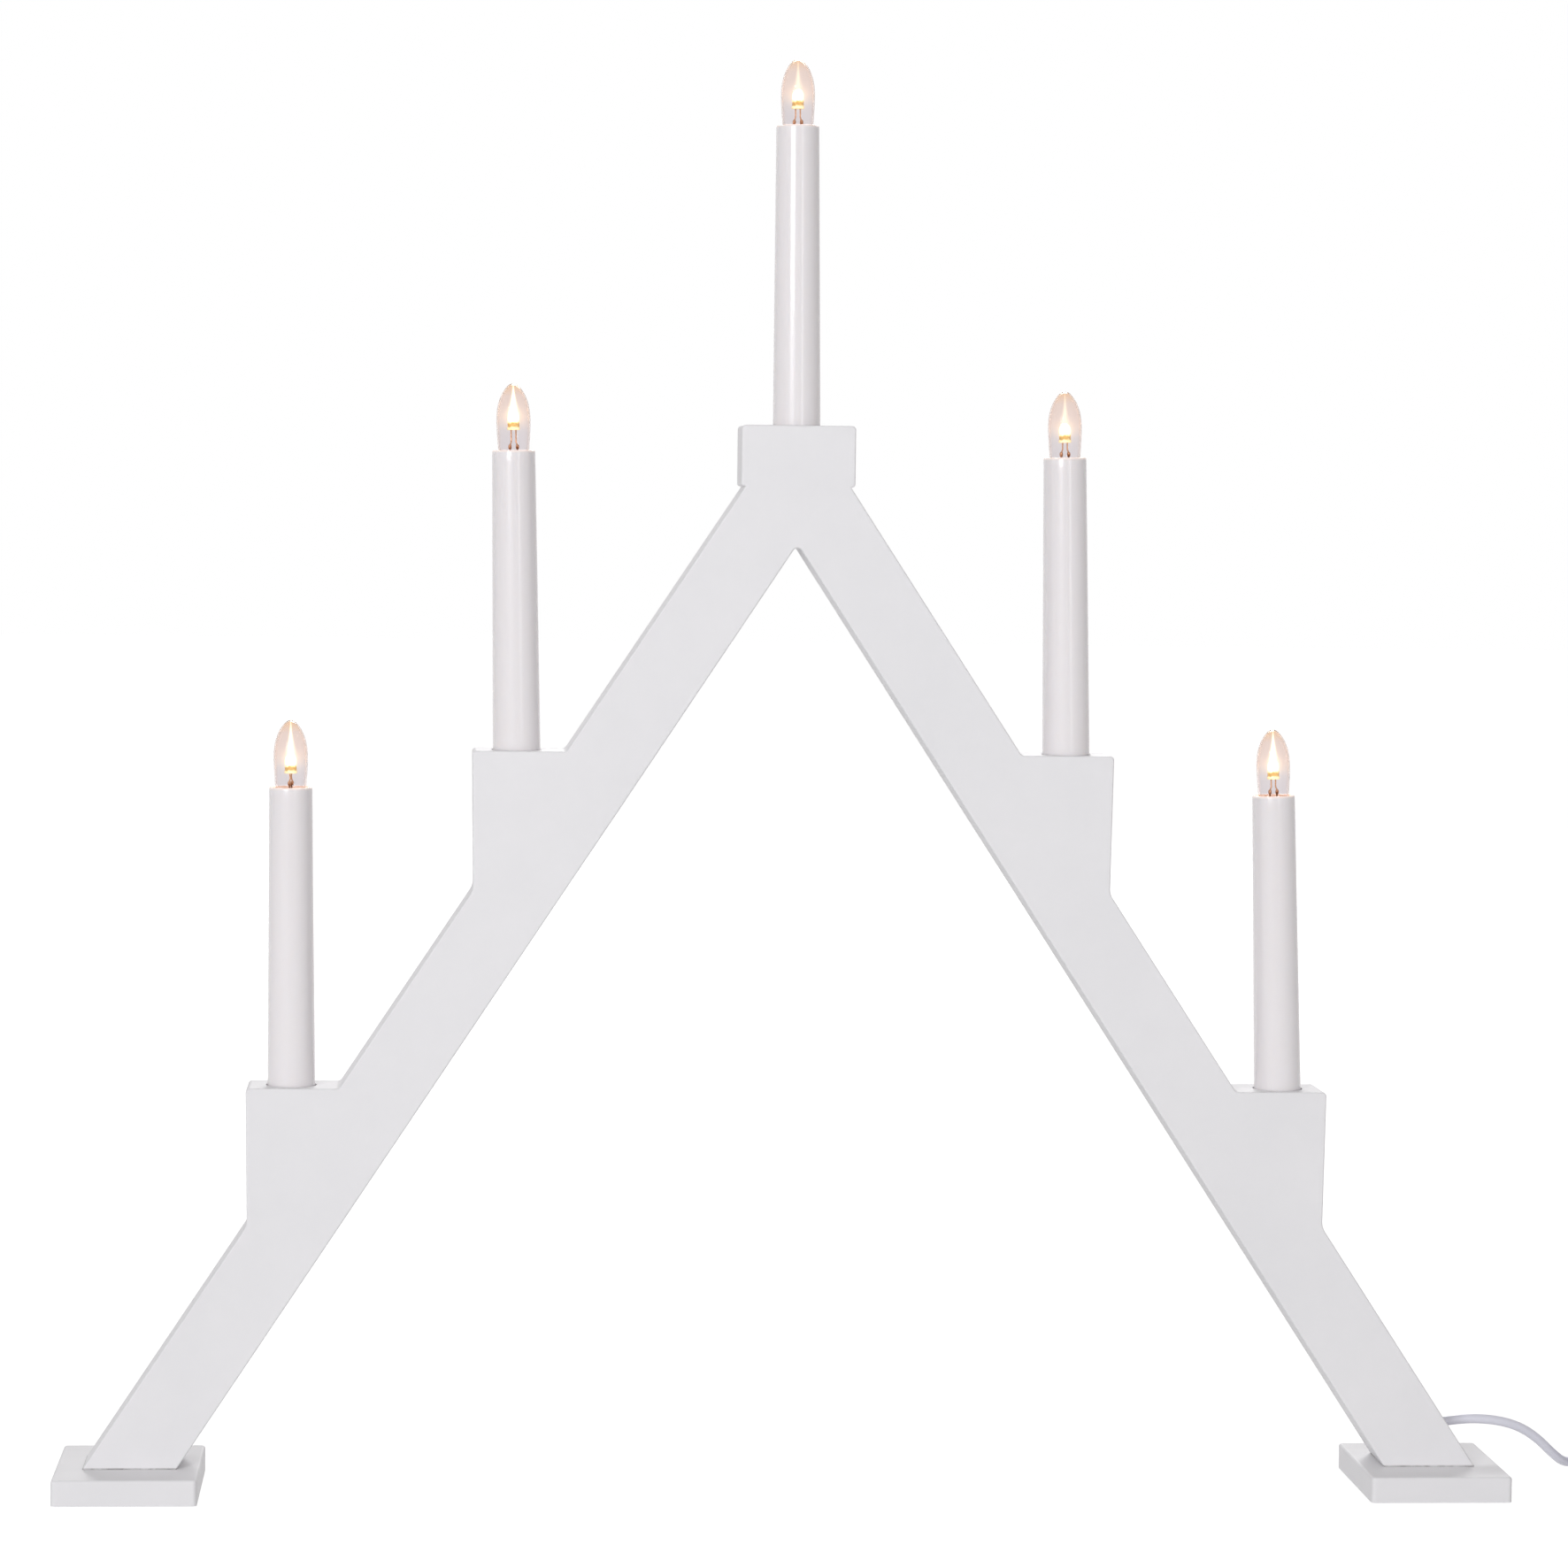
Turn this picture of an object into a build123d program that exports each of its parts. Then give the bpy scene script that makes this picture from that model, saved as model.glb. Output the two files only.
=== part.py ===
from build123d import *
import math
import os

# All lengths are in millimetres. X runs along the arch, Y from front to back, Z up.
# The origin is on the standing surface, under the middle of the board.

# Foot plates
PLATE_WIDTH = 56.0
PLATE_DEPTH = 70.0
PLATE_THICK = 10.0
PLATE_CORNER_ROUND = 1.8
PLATE_EDGE_ROUND = 1.1
PLATE_OUTSET = 0.8

# Arch board: one routed board with a saw-tooth outer outline
BOARD_THICK = 28.0
ARM_FOOT_X = 256.2
ARM_FOOT_WIDTH = 36.4
APEX_DEPTH = 46.0
BOARD_EDGE_ROUND = 0.7
CORNER_ROUND = 1.6
ROUTER_ROUND = 2.0
STEP_FOOT_ROUND = 7.0
BLOCK_NOTCH_WIDTH = 1.66079
BLOCK_CORNER_ROUND = 1.2
BLOCK_NOTCH_ROUND = 0.2
STEP_UNDERCUT_DEG = 0.8

# Distance from the middle at which an arm's outer edge, run on upwards, meets the top step
ARM_TOP_OUTER_X = 4.84607

# Height of the step under each light, and how far it stands out from the arm's outer edge
TOP_STEP_Z = 418.8
TOP_STEP_OUTSET = 17.354
MIDDLE_STEP_Z = 291.2
MIDDLE_STEP_OUTSET = 36.417
OUTER_STEP_Z = 159.2
OUTER_STEP_OUTSET = 36.079
SOCKET_INSET = 17.3

# Drilled socket under each sleeve, wire hole below it and routed groove in the back
SOCKET_DEPTH = 14.0
SLEEVE_SIDE_GAP = 0.6
SLEEVE_SEAT_GAP = 0.4
WIRE_HOLE_RADIUS = 4.5
WIRE_HOLE_SETBACK = 5.2
GROOVE_WIDTH = 9.0
GROOVE_DEPTH = 9.0
CORD_CORNER_Z = 21.7
CORD_RISE_DEG = 8.0

# Candle sleeve: a tapered plastic tube with a seat ring inside for the lamp holder
SLEEVE_HEIGHT = 116.6
SLEEVE_FOOT_RADIUS = 9.3
SLEEVE_TOP_RADIUS = 8.4
SLEEVE_WALL = 1.1
SLEEVE_RIM_ROUND = 0.45
HOLDER_BORE_RADIUS = 7.25
SEAT_RING_DEPTH = 26.0
SEAT_RING_RADIUS = 6.3
SEAT_RING_HEIGHT = 2.0

# How far each sleeve leans towards -X in its loose socket, in degrees
CANDLE_LEANS = {
    "left_outer": 0.5,
    "left_middle": 1.1,
    "top": 0.5,
    "right_middle": 1.1,
    "right_outer": 1.8,
}

# Lamp holder: moulded body, screw shell and centre contact
HOLDER_TOP_DEPTH = 6.5
HOLDER_SIDE_GAP = 0.1
HOLDER_BARREL_RADIUS = 6.2
HOLDER_FLANGE_HEIGHT = 2.0
HOLDER_FLOOR_DEPTH = 20.0
HOLDER_FLOOR_THICK = 2.0
HOLDER_SKIRT_WALL = 1.2
HOLDER_RIB_COUNT = 6
HOLDER_RIB_WIDTH = 1.2
SHELL_RADIUS = 4.76
SHELL_WALL = 0.3
SHELL_LIP = 0.8
SHELL_BOTTOM_DEPTH = 17.5
TAG_WIDTH = 2.0
TAG_THICK = 0.4
TAG_LENGTH = 2.0
TAG_SLOT_GAP = 0.1
CONTACT_X = 3.5
CONTACT_RISE = 1.3
CONTACT_REACH = 1.5

# Bulb: clear candle-shaped envelope, screw cap, insulator with centre tip
BULB_HEIGHT = 26.0
BULB_RADIUS = 6.63
BULB_NOSE = 14.4
BULB_NOSE_SHARES = (0.675, 0.285)
BULB_RIM_RADIUS = 6.03
BULB_NECK_DEPTH = 4.7
BULB_NECK_LENGTH = 2.6
BULB_NECK_RADIUS = 4.2
BULB_GLASS_WALL = 0.6
CAP_RADIUS = 4.66
CAP_WALL = 0.35
CAP_TOP_DEPTH = 5.0
CAP_BOTTOM_DEPTH = 15.5
INSULATOR_HEIGHT = 1.8
INSULATOR_TIP_RADIUS = 2.4
TIP_RADIUS = 1.6
TIP_HEIGHT = 0.9

# Light-emitting diode on its two leads inside the bulb
LED_FLANGE_RADIUS = 2.5
LED_FLANGE_HEIGHT = 1.0
LED_RADIUS = 2.3
LED_HEIGHT = 7.6
LEAD_RADIUS = 0.27
LEAD_SPACING = 1.9
CRIMP_RADIUS = 0.6
CRIMP_HEIGHT = 1.5
CRIMP_Z = 1.0
CRIMP_SPACING = 2.9

# Height of each diode's flange above its sleeve's rim
LED_RISES = {
    "left_outer": 5.3,
    "left_middle": 7.9,
    "top": 6.5,
    "right_middle": 5.9,
    "right_outer": 6.4,
}

# Inner wires and the staples that hold them in the groove
WIRE_RADIUS = 0.7
WIRE_LANE = 1.5
WIRE_FLOOR_GAP = 0.3
WIRE_LIFT = 2.2
WIRE_BEND = 4.0
WIRE_TURN_GAP = 0.1443
WIRE_RISE_RUN = 14.0
WIRE_SPREAD_RUN = 16.0
WIRE_HOLE_LANE = 2.0
WIRE_TAKE_OFF = 26.0
WIRE_END_GAP = 0.3
STAPLE_WIRE = 0.8
STAPLE_LEG = 5.0
STAPLE_GAP = 0.2
STAPLE_HEIGHTS = (76.0, 140.0, 200.0, 270.0, 340.0)

# Foot screws
SCREW_SHANK_RADIUS = 1.9
SCREW_LENGTH = 28.0
SCREW_HEAD_RADIUS = 3.9
SCREW_HEAD_HEIGHT = 2.4
SCREW_RECESS = 0.8
SCREW_HOLE_GAP = 0.2
SCREW_SLOT_WIDTH = 0.9
SCREW_SLOT_LENGTH = 4.4
SCREW_SLOT_DEPTH = 1.2
SCREW_INSET = 7.2
SCREW_SPACING = 10.0
SCREW_FORWARD = 3.0

# Cord clamp in the groove, with its two screws
CLAMP_LENGTH = 25.0
CLAMP_WIDTH = 9.0
CLAMP_THICK = 2.4
CLAMP_ROUND = 1.5
CLAMP_SIDE_GAP = 0.2
CLAMP_CORD_GAP = 0.1
CLAMP_RUN = 19.0
CLAMP_SCREW_SPACING = 17.0
CLAMP_SCREW_RADIUS = 1.4
CLAMP_SCREW_LENGTH = 9.0
CLAMP_HEAD_RADIUS = 2.7
CLAMP_HEAD_HEIGHT = 1.8
CLAMP_SLOT_WIDTH = 0.7
CLAMP_SLOT_LENGTH = 3.2
CLAMP_SLOT_DEPTH = 0.7

# Mains lead, from the groove's mouth down to the standing surface
CORD_DIAMETER = 3.8
CORD_FLOOR_GAP = 0.2
CORD_LIFT = 0.05
INLET_RUN = 34.0
INLET_BEND = 12.0
RADIUS_SHARE = 0.45

# Route of the free lead: run along the surface, heading in degrees, height above it
LEAD_EXIT_RUN = 8.0
LEAD_STEPS = (
    (9.0, 3.0, 25.1),
    (9.0, 8.0, 23.7),
    (8.6, 15.0, 20.6),
    (8.4, 25.0, 15.2),
    (8.2, 36.0, 8.8),
    (9.5, 47.0, 3.6),
)
LAID_STEPS = (
    (11.0, 55.0),
    (12.0, 60.0),
)

# Put-away coil of the lead
COIL_DIAMETER = 42.32
COIL_PITCH = 4.32
COIL_LAYERS = 4
COIL_LAYER_TURNS = 2.75
COIL_CLIMB_TURNS = 0.5
COIL_ARCS_PER_TURN = 4
COIL_GAP_SAMPLES = 48

# Tail of the lead, round to the plug: run, heading and height of its centre line above the plug's
TAIL_LEVEL_RUN = 9.0
TAIL_STEPS = (
    (10.0, 262.0, 7.0),
    (10.0, 287.0, 4.5),
    (10.0, 312.0, 1.9),
    (10.0, 337.0, 0.0),
    (10.0, 360.0, 0.0),
)

# Flat two-pin mains plug
PLUG_WIDTH = 35.3
PLUG_HEIGHT = 13.7
PLUG_LENGTH = 37.0
PLUG_SHOULDER = 20.0
PLUG_WAIST = 13.0
PLUG_ROUND = 2.4
PLUG_BOOT_LENGTH = 20.0
PLUG_BOOT_RADIUS = 4.2
PLUG_BOOT_TIP_RADIUS = 2.7
PIN_RADIUS = 2.0
PIN_LENGTH = 19.0
PIN_SPACING = 18.6
PIN_ROUND = 1.6
PIN_SLEEVE_RADIUS = 1.75
PIN_SLEEVE_LENGTH = 10.0
PIN_CORE_RADIUS = 1.4
PIN_ROOT = 6.0
BOOT_GROOVES = 4
BOOT_GROOVE_WIDTH = 1.3
BOOT_GROOVE_DEPTH = 0.9

OVERRUN = 2.0

# Values worked out from the sizes above
HALF_BOARD = BOARD_THICK / 2
FOOT_OUTER_X = ARM_FOOT_X + ARM_FOOT_WIDTH / 2
FOOT_INNER_X = ARM_FOOT_X - ARM_FOOT_WIDTH / 2
OUTER_SLOPE = (FOOT_OUTER_X - ARM_TOP_OUTER_X) / (TOP_STEP_Z - PLATE_THICK)
INNER_APEX_Z = TOP_STEP_Z - APEX_DEPTH
INNER_SLOPE = FOOT_INNER_X / (INNER_APEX_Z - PLATE_THICK)
PLATE_X = ARM_FOOT_X + PLATE_OUTSET
GROOVE_FLOOR_Y = HALF_BOARD - GROOVE_DEPTH
WIRE_Y = GROOVE_FLOOR_Y + WIRE_RADIUS + WIRE_FLOOR_GAP
CORD_RADIUS = CORD_DIAMETER / 2
CORD_Y = GROOVE_FLOOR_Y + CORD_RADIUS + CORD_FLOOR_GAP
RIM_Z = SLEEVE_HEIGHT
SOCKET_RADIUS = SLEEVE_FOOT_RADIUS + SLEEVE_SIDE_GAP
SIDES = {"left": -1, "right": 1}


def outer_x(z):
    """Distance of an arm's outer edge from the middle, at a height."""
    return FOOT_OUTER_X - OUTER_SLOPE * (z - PLATE_THICK)


TOP_STEP_X = outer_x(TOP_STEP_Z) + TOP_STEP_OUTSET
MIDDLE_STEP_X = outer_x(MIDDLE_STEP_Z) + MIDDLE_STEP_OUTSET
OUTER_STEP_X = outer_x(OUTER_STEP_Z) + OUTER_STEP_OUTSET

# Side, distance from the middle and height of each candle's step
STEPS = {
    "left_outer": (-1, OUTER_STEP_X - SOCKET_INSET, OUTER_STEP_Z),
    "left_middle": (-1, MIDDLE_STEP_X - SOCKET_INSET, MIDDLE_STEP_Z),
    "top": (1, 0.0, TOP_STEP_Z),
    "right_middle": (1, MIDDLE_STEP_X - SOCKET_INSET, MIDDLE_STEP_Z),
    "right_outer": (1, OUTER_STEP_X - SOCKET_INSET, OUTER_STEP_Z),
}


def inner_x(z):
    """Distance of an arm's inner edge from the middle, at a height."""
    return FOOT_INNER_X - INNER_SLOPE * (z - PLATE_THICK)


def middle_x(z):
    """Distance of an arm's centre line from the middle, at a height."""
    return (outer_x(z) + inner_x(z)) / 2


def middle_z(x):
    """Height at which an arm's centre line has a distance from the middle."""
    slope = (OUTER_SLOPE + INNER_SLOPE) / 2
    return PLATE_THICK + (ARM_FOOT_X - x) / slope


ARM_ANGLE = math.atan((OUTER_SLOPE + INNER_SLOPE) / 2)
ARM_DOWN = Vector(math.sin(ARM_ANGLE), 0, -math.cos(ARM_ANGLE))
ARM_OUT = Vector(math.cos(ARM_ANGLE), 0, math.sin(ARM_ANGLE))
CORD_RISE = math.radians(CORD_RISE_DEG)
CORD_WAY = Vector(math.cos(CORD_RISE), 0, math.sin(CORD_RISE))
LAID_Z = CORD_RADIUS + CORD_LIFT
PLUG_Z = PLUG_HEIGHT / 2 + CORD_LIFT


def cord_corner():
    """Where the lead turns from the arm's direction to the groove's mouth."""
    return Vector(middle_x(CORD_CORNER_Z), CORD_Y, CORD_CORNER_Z)


def cord_exit():
    """Where the lead leaves the groove's mouth in the arm's outer edge."""
    width = outer_x(CORD_CORNER_Z) - middle_x(CORD_CORNER_Z)
    reach = width / (CORD_WAY.X + OUTER_SLOPE * CORD_WAY.Z)
    return cord_corner() + reach * CORD_WAY


def mirrored(point, side):
    """A point of the right half, taken to the side of the arch that is meant."""
    return Vector(side * point.X, point.Y, point.Z)


def candle_place(name):
    """Where a candle stands: on its step, leaning in its socket."""
    side, x, z = STEPS[name]
    return Location((side * x, 0, z), (0, -CANDLE_LEANS[name], 0))


def revolved(points):
    """A solid of revolution about Z from a closed (radius, height) outline."""
    outline = Polyline(*[(r, 0, z) for r, z in points], close=True)
    return revolve(make_face(outline), Axis.Z)


# Arch board


def half_outline():
    """Corners of the right half as (x, z, rounding), from the inner apex to the top."""
    undercut = math.tan(math.radians(STEP_UNDERCUT_DEG))
    corners = [
        (FOOT_INNER_X, PLATE_THICK, 0.0),
        (FOOT_OUTER_X, PLATE_THICK, 0.0),
    ]
    for side_x, top_z in ((OUTER_STEP_X, OUTER_STEP_Z), (MIDDLE_STEP_X, MIDDLE_STEP_Z)):
        # The step's side leans in going down, until it meets the arm's outer edge
        base_x = side_x - undercut * top_z
        low_z = (outer_x(0.0) - base_x) / (OUTER_SLOPE + undercut)
        corners.append((outer_x(low_z), low_z, STEP_FOOT_ROUND))
        corners.append((side_x, top_z, CORNER_ROUND))
        corners.append((outer_x(top_z), top_z, ROUTER_ROUND))
    block_z = TOP_STEP_Z - (TOP_STEP_OUTSET - BLOCK_NOTCH_WIDTH) / OUTER_SLOPE
    corners.append((outer_x(block_z), block_z, BLOCK_NOTCH_ROUND))
    corners.append((TOP_STEP_X, block_z, BLOCK_CORNER_ROUND))
    corners.append((TOP_STEP_X, TOP_STEP_Z, CORNER_ROUND))
    return corners


def board_face():
    right = half_outline()
    left = [(-x, z, radius) for x, z, radius in reversed(right)]
    corners = [(0.0, INNER_APEX_Z, ROUTER_ROUND)] + right + left
    face = make_face(Polyline(*[(x, z) for x, z, _ in corners], close=True))
    for x, z, radius in corners:
        if radius > 0:
            corner = face.vertices().sort_by_distance((x, z, 0))[0]
            face = fillet(corner, radius)
    return face


def groove_leg(start, end):
    """One straight, round-ended leg of the groove in the back face, between two (x, z)."""
    run = Vector(end[0] - start[0], end[1] - start[1])
    slot = SlotCenterToCenter(run.length, GROOVE_WIDTH)
    centre = ((start[0] + end[0]) / 2, (start[1] + end[1]) / 2)
    angle = math.degrees(math.atan2(run.Y, run.X))
    leg = Pos(centre[0], centre[1]) * Rot(0, 0, angle) * slot
    back = Plane(origin=(0, GROOVE_FLOOR_Y, 0), x_dir=(1, 0, 0), z_dir=(0, -1, 0))
    return extrude(back * leg, -(GROOVE_DEPTH + OVERRUN))


def groove():
    """Groove for the wires: along both arms, and out to the side above the right foot."""
    apex = (0.0, middle_z(0.0))
    low_x = STEPS["left_outer"][1]
    left_end = (-low_x, middle_z(low_x))
    corner = cord_corner()
    mouth = cord_exit() + GROOVE_WIDTH * CORD_WAY
    legs = groove_leg(left_end, apex) + groove_leg(apex, (corner.X, corner.Z))
    return legs + groove_leg((corner.X, corner.Z), (mouth.X, mouth.Z))


def socket(name):
    """Drilled socket and the wire hole that leads from it to the groove."""
    side, x, z = STEPS[name]
    floor_z = z - SOCKET_DEPTH
    bore = Cylinder(SOCKET_RADIUS, SOCKET_DEPTH + OVERRUN, align=(Align.CENTER, Align.CENTER, Align.MIN))
    depth = floor_z - middle_z(x)
    hole = Cylinder(WIRE_HOLE_RADIUS, depth + OVERRUN, align=(Align.CENTER, Align.CENTER, Align.MIN))
    low_hole = Pos(side * x, WIRE_HOLE_SETBACK, floor_z - depth) * hole
    return Pos(side * x, 0, floor_z) * bore + low_hole


def arch_board():
    face = Plane.XZ * board_face()
    board = extrude(face, HALF_BOARD, both=True)
    rims = []
    for edge in board.edges():
        middle = edge @ 0.5
        on_face = abs(abs(middle.Y) - HALF_BOARD) < BOARD_EDGE_ROUND / 2
        if on_face and middle.Z > PLATE_THICK + BOARD_EDGE_ROUND:
            rims.append(edge)
    board = fillet(rims, BOARD_EDGE_ROUND)
    for name in STEPS:
        board -= socket(name)
    board -= groove()
    for side in SIDES.values():
        for place in foot_screw_places(side):
            board -= place * screw_pilot()
    for place in clamp_screw_places():
        board -= place * clamp_pilot()
    return board - Compound(children=staples())


# Foot plates and their screws


def foot_plate(side):
    outline = Rectangle(PLATE_WIDTH, PLATE_DEPTH)
    outline = fillet(outline.vertices(), PLATE_CORNER_ROUND)
    plate = extrude(Pos(side * PLATE_X, 0, 0) * outline, PLATE_THICK)
    top_rim = plate.edges().group_by(Axis.Z)[-1]
    plate = fillet(top_rim, PLATE_EDGE_ROUND)
    for place in foot_screw_places(side):
        plate -= place * screw_clearance()
    return plate


def foot_screw_places(side):
    """Two screws a foot, driven up from the underside of the plate into the arm."""
    first = ARM_FOOT_X - SCREW_INSET + SCREW_SPACING / 2
    places = []
    for x in (first, first - SCREW_SPACING):
        places.append(Pos(side * x, -SCREW_FORWARD, SCREW_RECESS))
    return places


def screw_pilot():
    """Hole in the board that the screw's shank fills."""
    start = PLATE_THICK - SCREW_RECESS - OVERRUN
    hole = Cylinder(SCREW_SHANK_RADIUS, SCREW_LENGTH - start, align=(Align.CENTER, Align.CENTER, Align.MIN))
    return Pos(0, 0, start) * hole


def screw_clearance():
    """Clearance hole and countersink in the plate."""
    hole_radius = SCREW_SHANK_RADIUS + SCREW_HOLE_GAP
    slope = SCREW_HEAD_HEIGHT / (SCREW_HEAD_RADIUS - SCREW_SHANK_RADIUS)
    return revolved(
        [
            (0, -SCREW_RECESS - OVERRUN),
            (SCREW_HEAD_RADIUS, -SCREW_RECESS - OVERRUN),
            (SCREW_HEAD_RADIUS, 0),
            (hole_radius, slope * (SCREW_HEAD_RADIUS - hole_radius)),
            (hole_radius, PLATE_THICK + OVERRUN),
            (0, PLATE_THICK + OVERRUN),
        ]
    )


def foot_screw():
    """Countersunk wood screw with a cross recess, its point up."""
    body = revolved(
        [
            (0, 0),
            (SCREW_HEAD_RADIUS, 0),
            (SCREW_SHANK_RADIUS, SCREW_HEAD_HEIGHT),
            (SCREW_SHANK_RADIUS, SCREW_LENGTH - SCREW_SHANK_RADIUS),
            (0, SCREW_LENGTH),
        ]
    )
    return body - cross_recess(SCREW_SLOT_LENGTH, SCREW_SLOT_WIDTH, SCREW_SLOT_DEPTH)


def cross_recess(length, width, depth):
    """Two crossed slots, cut upwards from the face at height zero."""
    low = (Align.CENTER, Align.CENTER, Align.MIN)
    bar = Pos(0, 0, -OVERRUN) * Box(length, width, depth + OVERRUN, align=low)
    return bar + Rot(0, 0, 90) * bar


def foot_screws():
    screws = []
    for side in SIDES.values():
        screws += [place * foot_screw() for place in foot_screw_places(side)]
    return Compound(children=screws)


# Candle sleeve and lamp holder, each drawn about its own axis from the step's height


def sleeve_outer_radius(z):
    return SLEEVE_FOOT_RADIUS - (SLEEVE_FOOT_RADIUS - SLEEVE_TOP_RADIUS) * z / SLEEVE_HEIGHT


def candle_sleeve():
    foot_z = -(SOCKET_DEPTH - SLEEVE_SEAT_GAP)
    ring_top = RIM_Z - SEAT_RING_DEPTH
    ring_low = ring_top - SEAT_RING_HEIGHT
    foot_bore = SLEEVE_FOOT_RADIUS - SLEEVE_WALL
    tube = revolved(
        [
            (SLEEVE_FOOT_RADIUS, foot_z),
            (SLEEVE_FOOT_RADIUS, 0),
            (SLEEVE_TOP_RADIUS, RIM_Z),
            (HOLDER_BORE_RADIUS, RIM_Z),
            (HOLDER_BORE_RADIUS, ring_top),
            (SEAT_RING_RADIUS, ring_top),
            (SEAT_RING_RADIUS, ring_low),
            (sleeve_outer_radius(ring_low) - SLEEVE_WALL, ring_low),
            (foot_bore, 0),
            (foot_bore, foot_z),
        ]
    )
    rim = tube.edges().filter_by(GeomType.CIRCLE).group_by(Axis.Z)[-1]
    return fillet(rim, SLEEVE_RIM_ROUND)


def lamp_holder():
    top = RIM_Z - HOLDER_TOP_DEPTH
    low = RIM_Z - SEAT_RING_DEPTH
    floor_top = RIM_Z - HOLDER_FLOOR_DEPTH
    floor_low = floor_top - HOLDER_FLOOR_THICK
    flange = HOLDER_BORE_RADIUS - HOLDER_SIDE_GAP
    bore = SHELL_RADIUS + SHELL_WALL
    skirt = HOLDER_BARREL_RADIUS - HOLDER_SKIRT_WALL
    body = revolved(
        [
            (0, floor_low),
            (skirt, floor_low),
            (skirt, low),
            (flange, low),
            (flange, low + HOLDER_FLANGE_HEIGHT),
            (HOLDER_BARREL_RADIUS, low + HOLDER_FLANGE_HEIGHT),
            (HOLDER_BARREL_RADIUS, top - HOLDER_FLANGE_HEIGHT),
            (flange, top - HOLDER_FLANGE_HEIGHT),
            (flange, top),
            (bore, top),
            (bore, floor_top),
            (0, floor_top),
        ]
    )
    rib_height = top - low - 2 * HOLDER_FLANGE_HEIGHT
    rib_reach = flange - HOLDER_BARREL_RADIUS + SHELL_WALL
    rib = Box(rib_reach, HOLDER_RIB_WIDTH, rib_height, align=(Align.MAX, Align.CENTER, Align.MIN))
    rib = Pos(flange - HOLDER_SIDE_GAP, 0, low + HOLDER_FLANGE_HEIGHT) * rib
    for index in range(HOLDER_RIB_COUNT):
        body += Rot(0, 0, index * 360 / HOLDER_RIB_COUNT) * rib
    for x in (shell_tag_x(), -CONTACT_X):
        slot = Box(
            TAG_THICK + TAG_SLOT_GAP * 2,
            TAG_WIDTH + TAG_SLOT_GAP * 2,
            HOLDER_FLOOR_THICK + OVERRUN,
        )
        body -= Pos(x, 0, floor_top - HOLDER_FLOOR_THICK / 2) * slot
    return body


def shell_tag_x():
    """The tag lies against the inside of the screw shell."""
    return SHELL_RADIUS - TAG_THICK


def tag_bottom():
    """Height of the solder tags' lower ends under the holder's floor."""
    return RIM_Z - HOLDER_FLOOR_DEPTH - HOLDER_FLOOR_THICK - TAG_LENGTH


def screw_shell():
    """Screw shell with a lip on the holder's top and a solder tag through its floor."""
    top = RIM_Z - HOLDER_TOP_DEPTH
    low = RIM_Z - SHELL_BOTTOM_DEPTH
    outer = SHELL_RADIUS + SHELL_WALL
    shell = revolved(
        [
            (SHELL_RADIUS, low),
            (outer, low),
            (outer, top),
            (outer + SHELL_LIP, top),
            (outer + SHELL_LIP, top + SHELL_WALL),
            (SHELL_RADIUS, top + SHELL_WALL),
        ]
    )
    # A short foot joins the shell to its tag, which passes down through the floor
    foot_x = SHELL_RADIUS + SHELL_WALL / 2
    foot_reach = foot_x - shell_tag_x() + TAG_THICK / 2
    foot = Box(foot_reach, TAG_WIDTH, TAG_THICK, align=(Align.MAX, Align.CENTER, Align.MAX))
    tag = Box(TAG_THICK, TAG_WIDTH, low - tag_bottom(), align=(Align.CENTER, Align.CENTER, Align.MIN))
    return shell + Pos(foot_x, 0, low) * foot + Pos(shell_tag_x(), 0, tag_bottom()) * tag


def centre_contact():
    """A strip folded up from its tag, along the floor and up again under the bulb's tip."""
    floor_top = RIM_Z - HOLDER_FLOOR_DEPTH
    strip = Polyline(
        (-CONTACT_X, tag_bottom()),
        (-CONTACT_X, floor_top + TAG_THICK / 2),
        (CONTACT_REACH, floor_top + TAG_THICK / 2),
        (CONTACT_REACH / 2, floor_top + CONTACT_RISE),
        (-CONTACT_REACH, floor_top + CONTACT_RISE),
    )
    return extrude(Plane.XZ * trace(strip, TAG_THICK), TAG_WIDTH / 2, both=True)


def wire_end(name, sign):
    """Where a wire ends, just under one of the two solder tags of a candle."""
    return (candle_place(name) * Pos(sign * CONTACT_X, 0, tag_bottom() - WIRE_END_GAP)).position


# Bulb


def bulb_curve(inset):
    """Envelope outline from the tip down to the neck, as (radius, height) curves."""
    tip_z = RIM_Z + BULB_HEIGHT - inset
    wide_z = RIM_Z + BULB_HEIGHT - BULB_NOSE
    wide = BULB_RADIUS - inset
    radial_share, drop_share = BULB_NOSE_SHARES
    nose = Spline(
        (0, 0, tip_z),
        (wide * radial_share, 0, tip_z - (tip_z - wide_z) * drop_share),
        (wide, 0, wide_z),
        tangents=[(1, 0, 0), (0, 0, -1)],
    )
    body = Spline(
        (wide, 0, wide_z),
        (BULB_RIM_RADIUS - inset, 0, RIM_Z),
        (BULB_NECK_RADIUS - inset, 0, RIM_Z - BULB_NECK_DEPTH),
        tangents=[(0, 0, -1), (0, 0, -1)],
    )
    return nose, body


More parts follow.
